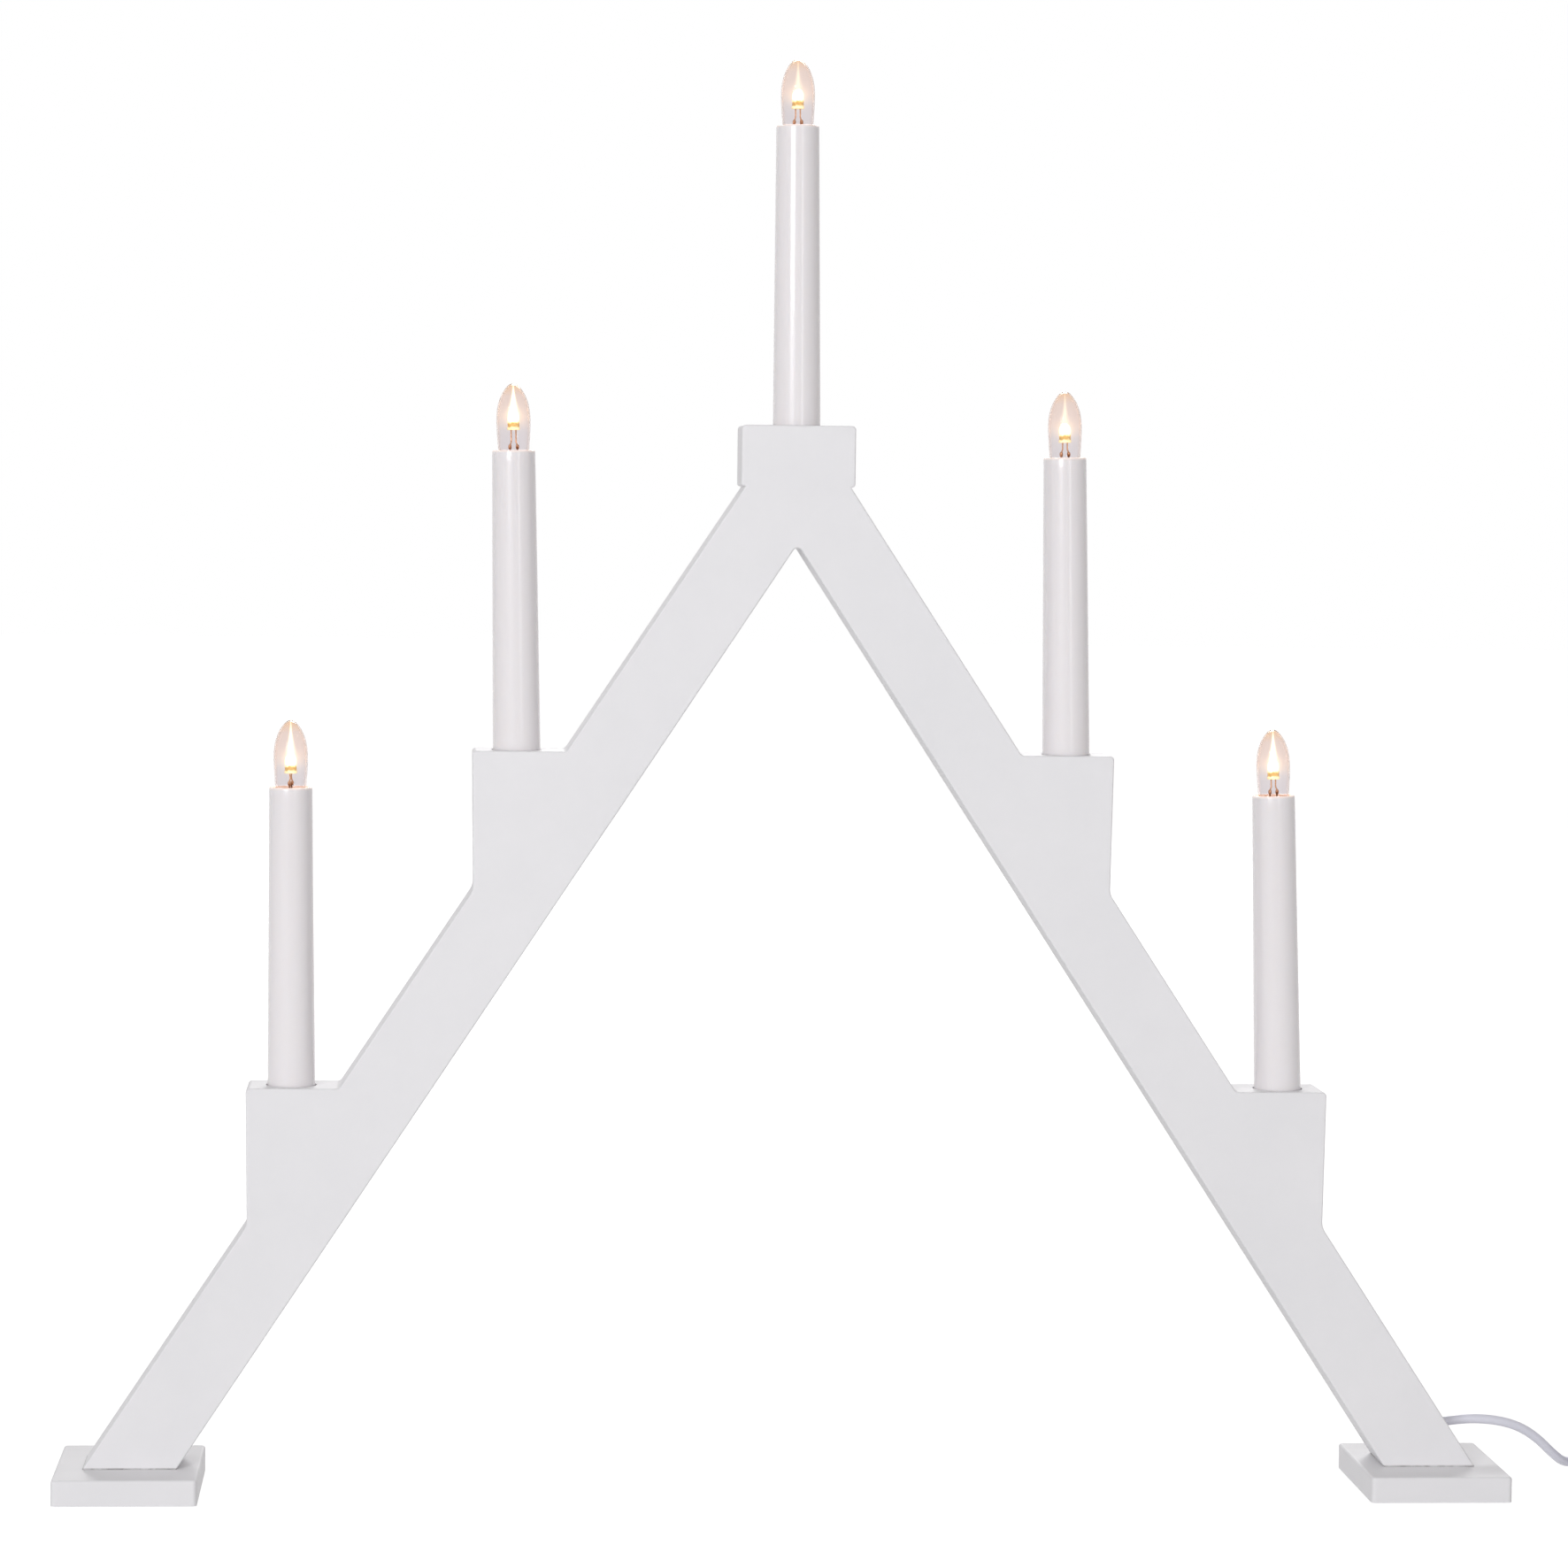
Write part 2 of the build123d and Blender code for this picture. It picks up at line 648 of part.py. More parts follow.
def bulb_glass():
    outer_nose, outer_body = bulb_curve(0)
    inner_nose, inner_body = bulb_curve(BULB_GLASS_WALL)
    neck_z = RIM_Z - BULB_NECK_DEPTH
    low_z = neck_z - BULB_NECK_LENGTH
    inner = BULB_NECK_RADIUS - BULB_GLASS_WALL
    neck = Polyline(
        (BULB_NECK_RADIUS, 0, neck_z),
        (BULB_NECK_RADIUS, 0, low_z),
        (inner, 0, low_z),
        (inner, 0, neck_z),
    )
    tip = Line((0, 0, RIM_Z + BULB_HEIGHT - BULB_GLASS_WALL), (0, 0, RIM_Z + BULB_HEIGHT))
    outline = Wire([outer_nose, outer_body, *neck.edges(), inner_body, inner_nose, tip])
    return revolve(make_face(outline), Axis.Z)


def bulb_cap():
    """Screw cap: a thin cup round the bulb's neck, with a turned-in lower rim."""
    top = RIM_Z - CAP_TOP_DEPTH
    low = RIM_Z - CAP_BOTTOM_DEPTH
    inner = CAP_RADIUS - CAP_WALL
    return revolved(
        [
            (INSULATOR_TIP_RADIUS, low),
            (CAP_RADIUS - CAP_WALL, low),
            (CAP_RADIUS, low + CAP_WALL),
            (CAP_RADIUS, top),
            (inner, top),
            (inner, low + CAP_WALL),
            (INSULATOR_TIP_RADIUS, low + CAP_WALL),
        ]
    )


def bulb_base():
    """Insulator under the cap, with the solder tip that meets the centre contact."""
    low = RIM_Z - CAP_BOTTOM_DEPTH
    insulator = revolved(
        [
            (0, low - INSULATOR_HEIGHT),
            (INSULATOR_TIP_RADIUS, low - INSULATOR_HEIGHT),
            (CAP_RADIUS - CAP_WALL, low),
            (0, low),
        ]
    )
    tip = Cylinder(TIP_RADIUS, TIP_HEIGHT, align=(Align.CENTER, Align.CENTER, Align.MAX))
    return insulator + Pos(0, 0, low - INSULATOR_HEIGHT) * tip


def led_lens(rise):
    """Diode with a domed top and a flange at its foot."""
    low = RIM_Z + rise
    shoulder = low + LED_HEIGHT - LED_RADIUS
    side = Polyline(
        (0, 0, low + LED_HEIGHT),
        (0, 0, low),
        (LED_FLANGE_RADIUS, 0, low),
        (LED_FLANGE_RADIUS, 0, low + LED_FLANGE_HEIGHT),
        (LED_RADIUS, 0, low + LED_FLANGE_HEIGHT),
        (LED_RADIUS, 0, shoulder),
    )
    dome = TangentArc((LED_RADIUS, 0, shoulder), (0, 0, low + LED_HEIGHT), tangent=(0, 0, 1))
    return revolve(make_face(Wire([*side.edges(), dome])), Axis.Z)


def led(rise):
    """Diode with its two leads, each crimped to a stem wire that goes down into the cap."""
    whole = led_lens(rise)
    low = RIM_Z - CAP_BOTTOM_DEPTH
    crimp_low = RIM_Z + CRIMP_Z
    for side in SIDES.values():
        lead_x = side * LEAD_SPACING / 2
        crimp_x = side * CRIMP_SPACING / 2
        crimp_top = crimp_low + CRIMP_HEIGHT
        path = Polyline(
            (lead_x, 0, RIM_Z + rise + LED_FLANGE_HEIGHT / 2),
            (lead_x, 0, crimp_top + CRIMP_HEIGHT),
            (crimp_x, 0, crimp_top),
            (crimp_x, 0, low),
        )
        start = Plane(origin=path @ 0, z_dir=path % 0)
        lead = sweep(start * Circle(LEAD_RADIUS), path=path, transition=Transition.RIGHT)
        crimp = Cylinder(CRIMP_RADIUS, CRIMP_HEIGHT, align=(Align.CENTER, Align.CENTER, Align.MIN))
        whole += lead + Pos(crimp_x, 0, crimp_low) * crimp
    return whole


# Wires in the groove


def tube(path, radius):
    """A round tube along a path."""
    return sweep(Plane(origin=path @ 0, z_dir=path % 0) * Circle(radius), path=path)


def lane_point(x, lane, lift):
    """Point of a wire's lane in the right arm's groove, at a distance x from the middle."""
    centre_x = x - lane * ARM_OUT.X
    z = PLATE_THICK + lane * ARM_OUT.Z + (ARM_FOOT_X - centre_x) / math.tan(ARM_ANGLE)
    return Vector(x, WIRE_Y + lift, z)


def take_off(name, shift, lift):
    """Where a wire leaves the straight wire hole and slants in towards the holder."""
    side, x, z = STEPS[name]
    low = max(z - SOCKET_DEPTH - WIRE_TAKE_OFF, middle_z(x) + 2 * WIRE_BEND)
    return Vector(x + shift, WIRE_Y + lift, low)


def wire_turn():
    """Short run between the two bends by which a wire turns from the arm into a wire hole."""
    heading = ARM_ANGLE / 2
    run = 2 * WIRE_BEND * math.tan((math.pi / 2 - heading) / 2) + WIRE_TURN_GAP
    return run * Vector(math.cos(heading), 0, math.sin(heading))


def clear_of_bend(point, corner):
    """A wire's point above a corner, high enough to leave that corner its bend."""
    return Vector(point.X, point.Y, max(point.Z, corner.Z + WIRE_BEND))


def link_arrival(name):
    """Corners of a link wire that rises over the others and turns up into a wire hole."""
    turn = wire_turn()
    first_x = STEPS[name][1] + WIRE_HOLE_LANE - turn.X
    first = lane_point(first_x, WIRE_LANE, WIRE_LIFT)
    low = lane_point(first_x - WIRE_RISE_RUN * ARM_DOWN.X, WIRE_LANE, 0)
    top = clear_of_bend(take_off(name, WIRE_HOLE_LANE, WIRE_LIFT), first + turn)
    return [low, first, first + turn, top]


def return_departure(name):
    """Corners of the return wire, down a wire hole and round into its own lane."""
    turn = wire_turn()
    second_x = STEPS[name][1] - WIRE_HOLE_LANE - turn.X
    second = lane_point(second_x, -WIRE_LANE, 0)
    top = clear_of_bend(take_off(name, -WIRE_HOLE_LANE, 0), second + turn)
    return [top, second + turn, second]


def link_wire(upper, lower, side):
    """Wire from one candle's holder to the next lower one on the same arm."""
    inward = 1 if upper == "top" else -1
    shift = inward * WIRE_HOLE_LANE
    leave = lane_point(STEPS[upper][1] + shift, WIRE_LANE, 0)
    corners = [take_off(upper, shift, 0), leave] + link_arrival(lower)
    route = [wire_end(upper, inward * side)]
    route += [mirrored(corner, side) for corner in corners]
    route.append(wire_end(lower, side))
    return tube(FilletPolyline(*route, radius=WIRE_BEND), WIRE_RADIUS)


def inlet_top():
    """Upper end of the lead's sheath in the right arm's groove."""
    return cord_corner() - INLET_RUN * ARM_DOWN


def core_route(lane):
    """Start of one core at the end of the sheath, and the point where it has its lane."""
    offset = math.copysign(WIRE_RADIUS + WIRE_END_GAP, lane)
    start = inlet_top() - WIRE_END_GAP * ARM_DOWN + offset * ARM_OUT
    joined = lane_point(start.X - WIRE_SPREAD_RUN * ARM_DOWN.X, lane, 0)
    return [start, joined]


def feed_wire():
    """Core that runs from the sheath up to the right outer candle."""
    name = "right_outer"
    route = core_route(WIRE_LANE)
    route.append(lane_point(STEPS[name][1] - WIRE_HOLE_LANE, WIRE_LANE, 0))
    route += [take_off(name, -WIRE_HOLE_LANE, 0), wire_end(name, -1)]
    return tube(FilletPolyline(*route, radius=WIRE_BEND), WIRE_RADIUS)


def return_wire():
    """Core that runs from the left outer candle over the top and down to the sheath."""
    name = "left_outer"
    route = [wire_end(name, 1)]
    route += [mirrored(corner, -1) for corner in return_departure(name)]
    route.append(lane_point(0.0, -WIRE_LANE, 0))
    route += reversed(core_route(-WIRE_LANE))
    return tube(FilletPolyline(*route, radius=WIRE_BEND), WIRE_RADIUS)


def staple():
    """Flat-wire staple, its crown across the groove's floor and its legs in the board."""
    span = 2 * (WIRE_LANE + WIRE_RADIUS + STAPLE_GAP + STAPLE_WIRE)
    crown_y = WIRE_Y + WIRE_RADIUS + STAPLE_GAP
    leg_depth = crown_y + STAPLE_WIRE - GROOVE_FLOOR_Y + STAPLE_LEG
    crown = Box(span, STAPLE_WIRE, STAPLE_WIRE, align=(Align.CENTER, Align.MIN, Align.CENTER))
    leg = Box(STAPLE_WIRE, leg_depth, STAPLE_WIRE, align=(Align.MIN, Align.MAX, Align.CENTER))
    both = Pos(-span / 2, crown_y + STAPLE_WIRE, 0) * leg
    both += Pos(span / 2 - STAPLE_WIRE, crown_y + STAPLE_WIRE, 0) * leg
    return both + Pos(0, crown_y, 0) * crown


def staples():
    """Staples along both arms, square to the groove."""
    row = []
    angle = math.degrees(ARM_ANGLE)
    for side in SIDES.values():
        for z in STAPLE_HEIGHTS:
            on_right = side > 0
            if on_right or z > middle_z(STEPS["left_outer"][1]):
                row.append(Pos(side * middle_x(z), 0, z) * Rot(0, -side * angle, 0) * staple())
    return row


# Sheath of the lead inside the groove, and the clamp that holds it


def cord_inlet():
    path = FilletPolyline(inlet_top(), cord_corner(), cord_exit(), radius=INLET_BEND)
    return tube(path, CORD_RADIUS)


def clamp_frame():
    """Frame on the back face, over the groove: local X across the groove, local Z backwards."""
    centre = cord_corner() - CLAMP_RUN * ARM_DOWN
    return Plane(origin=(centre.X, HALF_BOARD, centre.Z), x_dir=ARM_OUT, z_dir=(0, 1, 0))


def cord_clamp():
    bridge = Rectangle(CLAMP_LENGTH, CLAMP_WIDTH)
    bridge = fillet(bridge.vertices(), CLAMP_ROUND)
    plate = extrude(bridge, CLAMP_THICK)
    tongue_depth = HALF_BOARD - (CORD_Y + CORD_RADIUS + CLAMP_CORD_GAP)
    tongue_width = GROOVE_WIDTH - 2 * CLAMP_SIDE_GAP
    tongue = Box(tongue_width, CLAMP_WIDTH, tongue_depth, align=(Align.CENTER, Align.CENTER, Align.MAX))
    clamp = plate + tongue
    hole = Cylinder(CLAMP_SCREW_RADIUS + CLAMP_SIDE_GAP, CLAMP_THICK + 2 * OVERRUN)
    for x in (-CLAMP_SCREW_SPACING / 2, CLAMP_SCREW_SPACING / 2):
        clamp -= Pos(x, 0, CLAMP_THICK / 2) * hole
    return clamp_frame() * clamp


def clamp_screw_places():
    spots = Locations((-CLAMP_SCREW_SPACING / 2, 0, 0), (CLAMP_SCREW_SPACING / 2, 0, 0))
    return [clamp_frame().location * spot for spot in spots]


def clamp_pilot():
    depth = CLAMP_SCREW_LENGTH - CLAMP_THICK
    return Cylinder(CLAMP_SCREW_RADIUS, depth, align=(Align.CENTER, Align.CENTER, Align.MAX))


def clamp_screw():
    """Pan-head screw, its head on the clamp and its point in the board."""
    head_top = CLAMP_THICK + CLAMP_HEAD_HEIGHT
    low = CLAMP_THICK - CLAMP_SCREW_LENGTH
    screw = revolved(
        [
            (0, low),
            (CLAMP_SCREW_RADIUS, low + CLAMP_SCREW_RADIUS),
            (CLAMP_SCREW_RADIUS, CLAMP_THICK),
            (CLAMP_HEAD_RADIUS, CLAMP_THICK),
            (CLAMP_HEAD_RADIUS, head_top - CLAMP_HEAD_HEIGHT / 2),
            (CLAMP_HEAD_RADIUS - CLAMP_HEAD_HEIGHT / 2, head_top),
            (0, head_top),
        ]
    )
    recess = cross_recess(CLAMP_SLOT_LENGTH, CLAMP_SLOT_WIDTH, CLAMP_SLOT_DEPTH)
    return screw - Pos(0, 0, head_top) * Rot(180, 0, 0) * recess


def clamp_screws():
    return Compound(children=[place * clamp_screw() for place in clamp_screw_places()])


# Free lead, its coil and its plug


def heading_way(degrees):
    return Vector(math.cos(math.radians(degrees)), math.sin(math.radians(degrees)), 0)


def lead_route():
    """Corners of the free lead, from the groove's mouth to the start of the coil."""
    points = [cord_exit(), cord_exit() + LEAD_EXIT_RUN * CORD_WAY]
    for run, heading, height in LEAD_STEPS:
        step = points[-1] + run * heading_way(heading)
        points.append(Vector(step.X, step.Y, height))
    for run, heading in LAID_STEPS:
        step = points[-1] + run * heading_way(heading)
        points.append(Vector(step.X, step.Y, LAID_Z))
    return points


def round_path(points):
    """Runs joined by arcs, each as large as its two runs allow, and the smallest radius."""
    radii = []
    for before, corner, after in zip(points, points[1:], points[2:]):
        first = corner - before
        second = after - corner
        half_turn = math.radians(first.get_angle(second)) / 2
        radii.append(RADIUS_SHARE * min(first.length, second.length) / math.tan(half_turn))
    return FilletPolyline(*points, radius=radii), min(radii)


def coil_start():
    """Point where the lead becomes the coil, on the outer turn of the lowest layer."""
    return lead_route()[-1]


def coil_heading():
    return LAID_STEPS[-1][1]


def coil_centre():
    heading = coil_heading()
    outer = COIL_DIAMETER / 2 + COIL_LAYER_TURNS * COIL_PITCH / 2
    wound_from = coil_start() + CORD_DIAMETER * heading_way(heading)
    return wound_from + outer * heading_way(heading - 90)


def coil_point(turns):
    """Point of the coil's centre line after a number of clockwise turns."""
    period = COIL_LAYER_TURNS + COIL_CLIMB_TURNS
    layer = min(int(turns / period), COIL_LAYERS - 1)
    inside = turns - layer * period
    wound = min(inside, COIL_LAYER_TURNS)
    climbed = max(inside - COIL_LAYER_TURNS, 0.0) / COIL_CLIMB_TURNS
    inward = 1 if layer % 2 == 0 else -1
    # The spiral reverses smoothly while the tube climbs to the next layer
    swell = COIL_PITCH * COIL_CLIMB_TURNS / math.pi * math.sin(math.pi * climbed)
    radius = COIL_DIAMETER / 2 + inward * (COIL_PITCH * (COIL_LAYER_TURNS / 2 - wound) - swell)
    lift = layer + (1 - math.cos(math.pi * climbed)) / 2
    arm = radius * heading_way(coil_heading() + 90 - 360 * turns)
    return coil_centre() + arm + Vector(0, 0, COIL_PITCH * lift)


def coil_way(turns):
    """Direction of the coil's centre line."""
    small = 1 / (COIL_GAP_SAMPLES * COIL_GAP_SAMPLES)
    return (coil_point(turns + small) - coil_point(turns - small)).normalized()


def coil_turns():
    return COIL_LAYERS * (COIL_LAYER_TURNS + COIL_CLIMB_TURNS) - COIL_CLIMB_TURNS


def tail_heading():
    """Heading in which the coil's upper end leaves it."""
    return coil_heading() - 360 * coil_turns()


def biarc(start, start_way, end, end_way):
    """Two tangent arcs between two points with given directions."""
    gap = end - start
    ways = start_way + end_way
    square = 4 - ways.dot(ways)
    reach = (math.sqrt(gap.dot(ways) ** 2 + square * gap.dot(gap)) - gap.dot(ways)) / square
    middle = (start + reach * start_way + end - reach * end_way) / 2
    second_way = (end - reach * end_way - middle).normalized()
    return [
        TangentArc(start, middle, tangent=start_way),
        TangentArc(middle, end, tangent=second_way),
    ]


def cord_coil():
    """The put-away length: one unbroken tube with straight ends of one diameter."""
    way = heading_way(coil_heading())
    leaving = heading_way(tail_heading())
    first = coil_start()
    wound_from = first + CORD_DIAMETER * way
    edges = [Line(first, wound_from)]
    count = round(coil_turns() * COIL_ARCS_PER_TURN)
    turns = [index / COIL_ARCS_PER_TURN for index in range(count + 1)]
    places = [coil_point(turn) for turn in turns]
    ways = [way] + [coil_way(turn) for turn in turns[1:-1]] + [leaving]
    for index in range(count):
        edges += biarc(places[index], ways[index], places[index + 1], ways[index + 1])
    edges.append(Line(places[-1], places[-1] + CORD_DIAMETER * leaving))
    path = Wire(edges)
    print("coil length", round(path.length, 1), "least self-gap", round(coil_self_gap(), 2))
    return tube(path, CORD_RADIUS), path.length


def coil_self_gap():
    """Least space between the tube's skins, measured on points of its centre line."""
    count = round(coil_turns() * COIL_GAP_SAMPLES)
    points = [coil_point(index / COIL_GAP_SAMPLES) for index in range(count + 1)]
    near = COIL_GAP_SAMPLES // 2
    least = min(
        (points[j] - points[i]).length
        for i in range(len(points))
        for j in range(i + near, len(points))
    )
    return least - CORD_DIAMETER


def tail_route():
    """Corners of the tail, from the coil's upper end to the plug's boot."""
    way = heading_way(tail_heading())
    start = coil_point(coil_turns()) + CORD_DIAMETER * way
    points = [start, start + TAIL_LEVEL_RUN * way]
    for run, heading, height in TAIL_STEPS:
        step = points[-1] + run * heading_way(heading)
        points.append(Vector(step.X, step.Y, PLUG_Z + height))
    return points


def plug_frame():
    """Frame of the plug: local X across it, local Z from its boot towards its pins."""
    heading = TAIL_STEPS[-1][1]
    across = heading_way(heading - 90)
    return Plane(origin=tail_route()[-1], x_dir=across, z_dir=heading_way(heading))


def plug_body():
    """Flat body that narrows towards a ribbed boot, with sleeves round the pins' roots."""
    half = PLUG_WIDTH / 2
    face_z = PLUG_BOOT_LENGTH + PLUG_LENGTH
    shoulder_z = face_z - PLUG_SHOULDER
    outline = Polyline(
        (-half, face_z),
        (half, face_z),
        (half, shoulder_z),
        (PLUG_WAIST / 2, PLUG_BOOT_LENGTH),
        (-PLUG_WAIST / 2, PLUG_BOOT_LENGTH),
        (-half, shoulder_z),
        close=True,
    )
    block = extrude(Plane.XZ * make_face(outline), PLUG_HEIGHT / 2, both=True)
    block = fillet(block.edges(), PLUG_ROUND)
    boot = Cone(PLUG_BOOT_TIP_RADIUS, PLUG_BOOT_RADIUS, PLUG_BOOT_LENGTH + OVERRUN,
                align=(Align.CENTER, Align.CENTER, Align.MIN))
    spacing = PLUG_BOOT_LENGTH / (BOOT_GROOVES + 1)
    for index in range(BOOT_GROOVES):
        middle_z = spacing * (index + 1)
        radius = PLUG_BOOT_TIP_RADIUS + (PLUG_BOOT_RADIUS - PLUG_BOOT_TIP_RADIUS) * middle_z / PLUG_BOOT_LENGTH
        ring = Cylinder(radius + OVERRUN, BOOT_GROOVE_WIDTH) - Cylinder(radius - BOOT_GROOVE_DEPTH, BOOT_GROOVE_WIDTH)
        boot -= Pos(0, 0, middle_z) * ring
    body = block + boot
    for x in (-PIN_SPACING / 2, PIN_SPACING / 2):
        sleeve = Cylinder(PIN_SLEEVE_RADIUS, PIN_SLEEVE_LENGTH, align=(Align.CENTER, Align.CENTER, Align.MIN))
        core = Cylinder(PIN_CORE_RADIUS, PIN_SLEEVE_LENGTH + PIN_ROOT, align=(Align.CENTER, Align.CENTER, Align.MAX))
        body += Pos(x, 0, face_z) * sleeve
        body -= Pos(x, 0, face_z + PIN_SLEEVE_LENGTH) * core
    return plug_frame() * body


def plug_pins():
    """Two pins with a slimmer core inside their sleeves and rounded tips."""
    root_z = -PIN_ROOT
    shoulder_z = PIN_SLEEVE_LENGTH
    pin = revolved(
        [
            (0, root_z),
            (PIN_CORE_RADIUS, root_z),
            (PIN_CORE_RADIUS, shoulder_z),
            (PIN_RADIUS, shoulder_z),
            (PIN_RADIUS, PIN_LENGTH),
            (0, PIN_LENGTH),
        ]
    )
    tip = pin.edges().filter_by(GeomType.CIRCLE).group_by(Axis.Z)[-1]
    pin = fillet(tip, PIN_ROUND)
    face_z = PLUG_BOOT_LENGTH + PLUG_LENGTH
    places = Locations((-PIN_SPACING / 2, 0, face_z), (PIN_SPACING / 2, 0, face_z))
    return plug_frame() * Compound(children=[place * pin for place in places])


# All pieces


def candle_pieces(name):
    """The pieces of one candle, each on its own axis, with their node names."""
    makers = {
        "sleeve": candle_sleeve,
        "lamp_holder": lamp_holder,
        "screw_shell": screw_shell,
        "centre_contact": centre_contact,
        "bulb_glass": bulb_glass,
        "bulb_cap": bulb_cap,
        "bulb_base": bulb_base,
    }
    pieces = {f"{kind}_{name}": candle_place(name) * maker() for kind, maker in makers.items()}
    pieces[f"led_{name}"] = candle_place(name) * led(LED_RISES[name])
    return pieces


def whole_set():
    pieces = {"arch_board": arch_board()}
    for name, side in SIDES.items():
        pieces[f"foot_plate_{name}"] = foot_plate(side)
    pieces["foot_screws"] = foot_screws()
    for name in STEPS:
        pieces.update(candle_pieces(name))
    pieces["link_wire_right_upper"] = link_wire("top", "right_middle", 1)
    pieces["link_wire_right_lower"] = link_wire("right_middle", "right_outer", 1)
    pieces["link_wire_left_upper"] = link_wire("top", "left_middle", -1)
    pieces["link_wire_left_lower"] = link_wire("left_middle", "left_outer", -1)
    pieces["feed_wire"] = feed_wire()
    pieces["return_wire"] = return_wire()
    pieces["wire_staples"] = Compound(children=staples())
    pieces["cord_clamp"] = cord_clamp()
    pieces["cord_clamp_screws"] = clamp_screws()
    pieces["cord_inlet"] = cord_inlet()
    lead, lead_radius = round_path(lead_route())
    tail, tail_radius = round_path(tail_route())
    pieces["power_cord"] = tube(lead, CORD_RADIUS)
    pieces["cord_coil"], coil_length = cord_coil()
    pieces["cord_tail"] = tube(tail, CORD_RADIUS)
    pieces["plug_body"] = plug_body()
    pieces["plug_pins"] = plug_pins()
    print("lead length", round(lead.length, 1), "least radius", round(lead_radius, 1))
    print("tail length", round(tail.length, 1), "least radius", round(tail_radius, 1))
    print("free cord length", round(lead.length + coil_length + tail.length, 1))
    return pieces


os.makedirs("parts", exist_ok=True)
for piece_name, piece in whole_set().items():
    export_step(piece, f"parts/{piece_name}.step")
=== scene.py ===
import math

import bpy
from mathutils import Matrix, Vector


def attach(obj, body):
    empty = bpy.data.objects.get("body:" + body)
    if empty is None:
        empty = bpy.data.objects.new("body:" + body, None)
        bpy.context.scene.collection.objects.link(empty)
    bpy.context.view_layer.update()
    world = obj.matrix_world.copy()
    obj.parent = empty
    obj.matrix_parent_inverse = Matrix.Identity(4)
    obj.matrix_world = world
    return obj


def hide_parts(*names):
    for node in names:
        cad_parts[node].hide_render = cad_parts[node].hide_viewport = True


# Blender works in metres in the part's frame; lengths below are in millimetres unless said.
MM = 0.001

# Camera fitted to the photograph: angles in degrees, clipping in metres
CAMERA_PLACE = (-140.2, -1841.5, 385.2)
CAMERA_YAW = 4.256
CAMERA_PITCH = 3.306
CAMERA_ROLL = 0.732
FOCAL_PIXELS = 5324.0
PHOTO_PIXELS = 1772.0
SENSOR = 36.0
CLIP_NEAR = 0.05
CLIP_FAR = 30.0

# Candles: (place along X, height of the step, lean towards -X in degrees)
CANDLES = {
    "left_outer": (-194.8, 159.2, 0.5),
    "left_middle": (-108.1, 291.2, 1.1),
    "top": (0.0, 418.8, 0.5),
    "right_middle": (108.1, 291.2, 1.1),
    "right_outer": (194.8, 159.2, 1.8),
}
RIM = 116.6
TURNED_SIDES = 96

# Height of each diode's flange above its sleeve's rim
LED_RISES = {
    "left_outer": 5.3,
    "left_middle": 7.9,
    "top": 6.5,
    "right_middle": 5.9,
    "right_outer": 6.4,
}

# Sleeve outline as (radius, height above the step)
SLEEVE_OUTLINE = (
    (8.2, -13.6),
    (9.15, -13.6),
    (9.3, -13.4),
    (9.3, 0.0),
    (9.08, 30.0),
    (8.85, 60.0),
    (8.62, 90.0),
    (8.43, 112.0),
    (8.4, 115.8),
    (8.32, 116.25),
    (8.12, 116.52),
    (7.82, 116.6),
    (7.5, 116.5),
    (7.31, 116.2),
    (7.25, 115.6),
    (7.25, 90.6),
    (6.3, 90.6),
    (6.3, 88.6),
    (7.5, 88.6),
    (8.2, 0.0),
)

# Bulb outline as (radius, height above the sleeve's rim)
BULB_OUTLINE = (
    (0.0, 26.0),
    (1.1, 25.72),
    (2.1, 25.0),
    (3.1, 23.9),
    (3.9, 22.75),
    (4.7, 21.4),
    (5.35, 19.8),
    (5.95, 17.9),
    (6.38, 15.6),
    (6.6, 13.2),
    (6.62, 10.8),
    (6.54, 8.2),
    (6.4, 5.4),
    (6.2, 2.6),
    (6.0, 0.2),
    (5.6, -1.8),
    (4.9, -3.5),
    (4.3, -4.6),
    (4.2, -5.6),
    (4.2, -7.3),
)
BULB_WALL = 0.55
BULB_HEIGHT = 26.0

# Painted shade along the join where the arms stand on the foot plates
PLATE_TOP = 10.0
SEAM_SHADE_HEIGHT = 0.9
SEAM_SHADE_TONE = (0.16, 0.145, 0.14)
SEAM_SHADE_BREAKS = (1.6, -0.1)

# Light of the bulb on the sleeve's rim and inside its mouth
RIM_GLOW_DEPTH = 1.6
RIM_GLOW_POWER = 3.0
RIM_GLOW = 0.4
RIM_GLOW_COLOUR = (1.0, 0.56, 0.30)
MOUTH_RADIUS = 7.6
MOUTH_GLOW_DEPTH = 7.0
MOUTH_GLOW = 0.75

# Colours of the lit bulb's glass, greyish low down and warmer higher up where the diode's light is
# painted in: (share of its height, colour)
GLASS_GLOW_TINTS = (
    (0.0, (0.86, 0.845, 0.87)),
    (0.3, (0.865, 0.845, 0.865)),
    (0.5, (0.93, 0.86, 0.84)),
    (0.82, (0.925, 0.85, 0.82)),
    (1.0, (0.96, 0.80, 0.66)),
)
GLASS_RIPPLE = 0.12
GLASS_STREAKS = (0.95, 1.03)
# Painted shade along the glass's edges, warmed by the diode's light: its fall-off power, its
# colour, and how far it covers the clear glass
GLASS_EDGE_POWER = 5.0
GLASS_EDGE_SHADE_TINT = (0.80, 0.58, 0.48)
GLASS_EDGE_SHADE_COVER = 0.75
GLASS_DEPTH_TINT = (0.90, 0.76, 0.66)
GLASS_DEPTH = 210.0

# Halo round the diode, seen on the glass
GLOW_RISE = 4.8
GLOW_REACH = 3.4
GLOW_STRENGTH = 0.11
GLOW_COLOUR = (1.0, 0.72, 0.30)

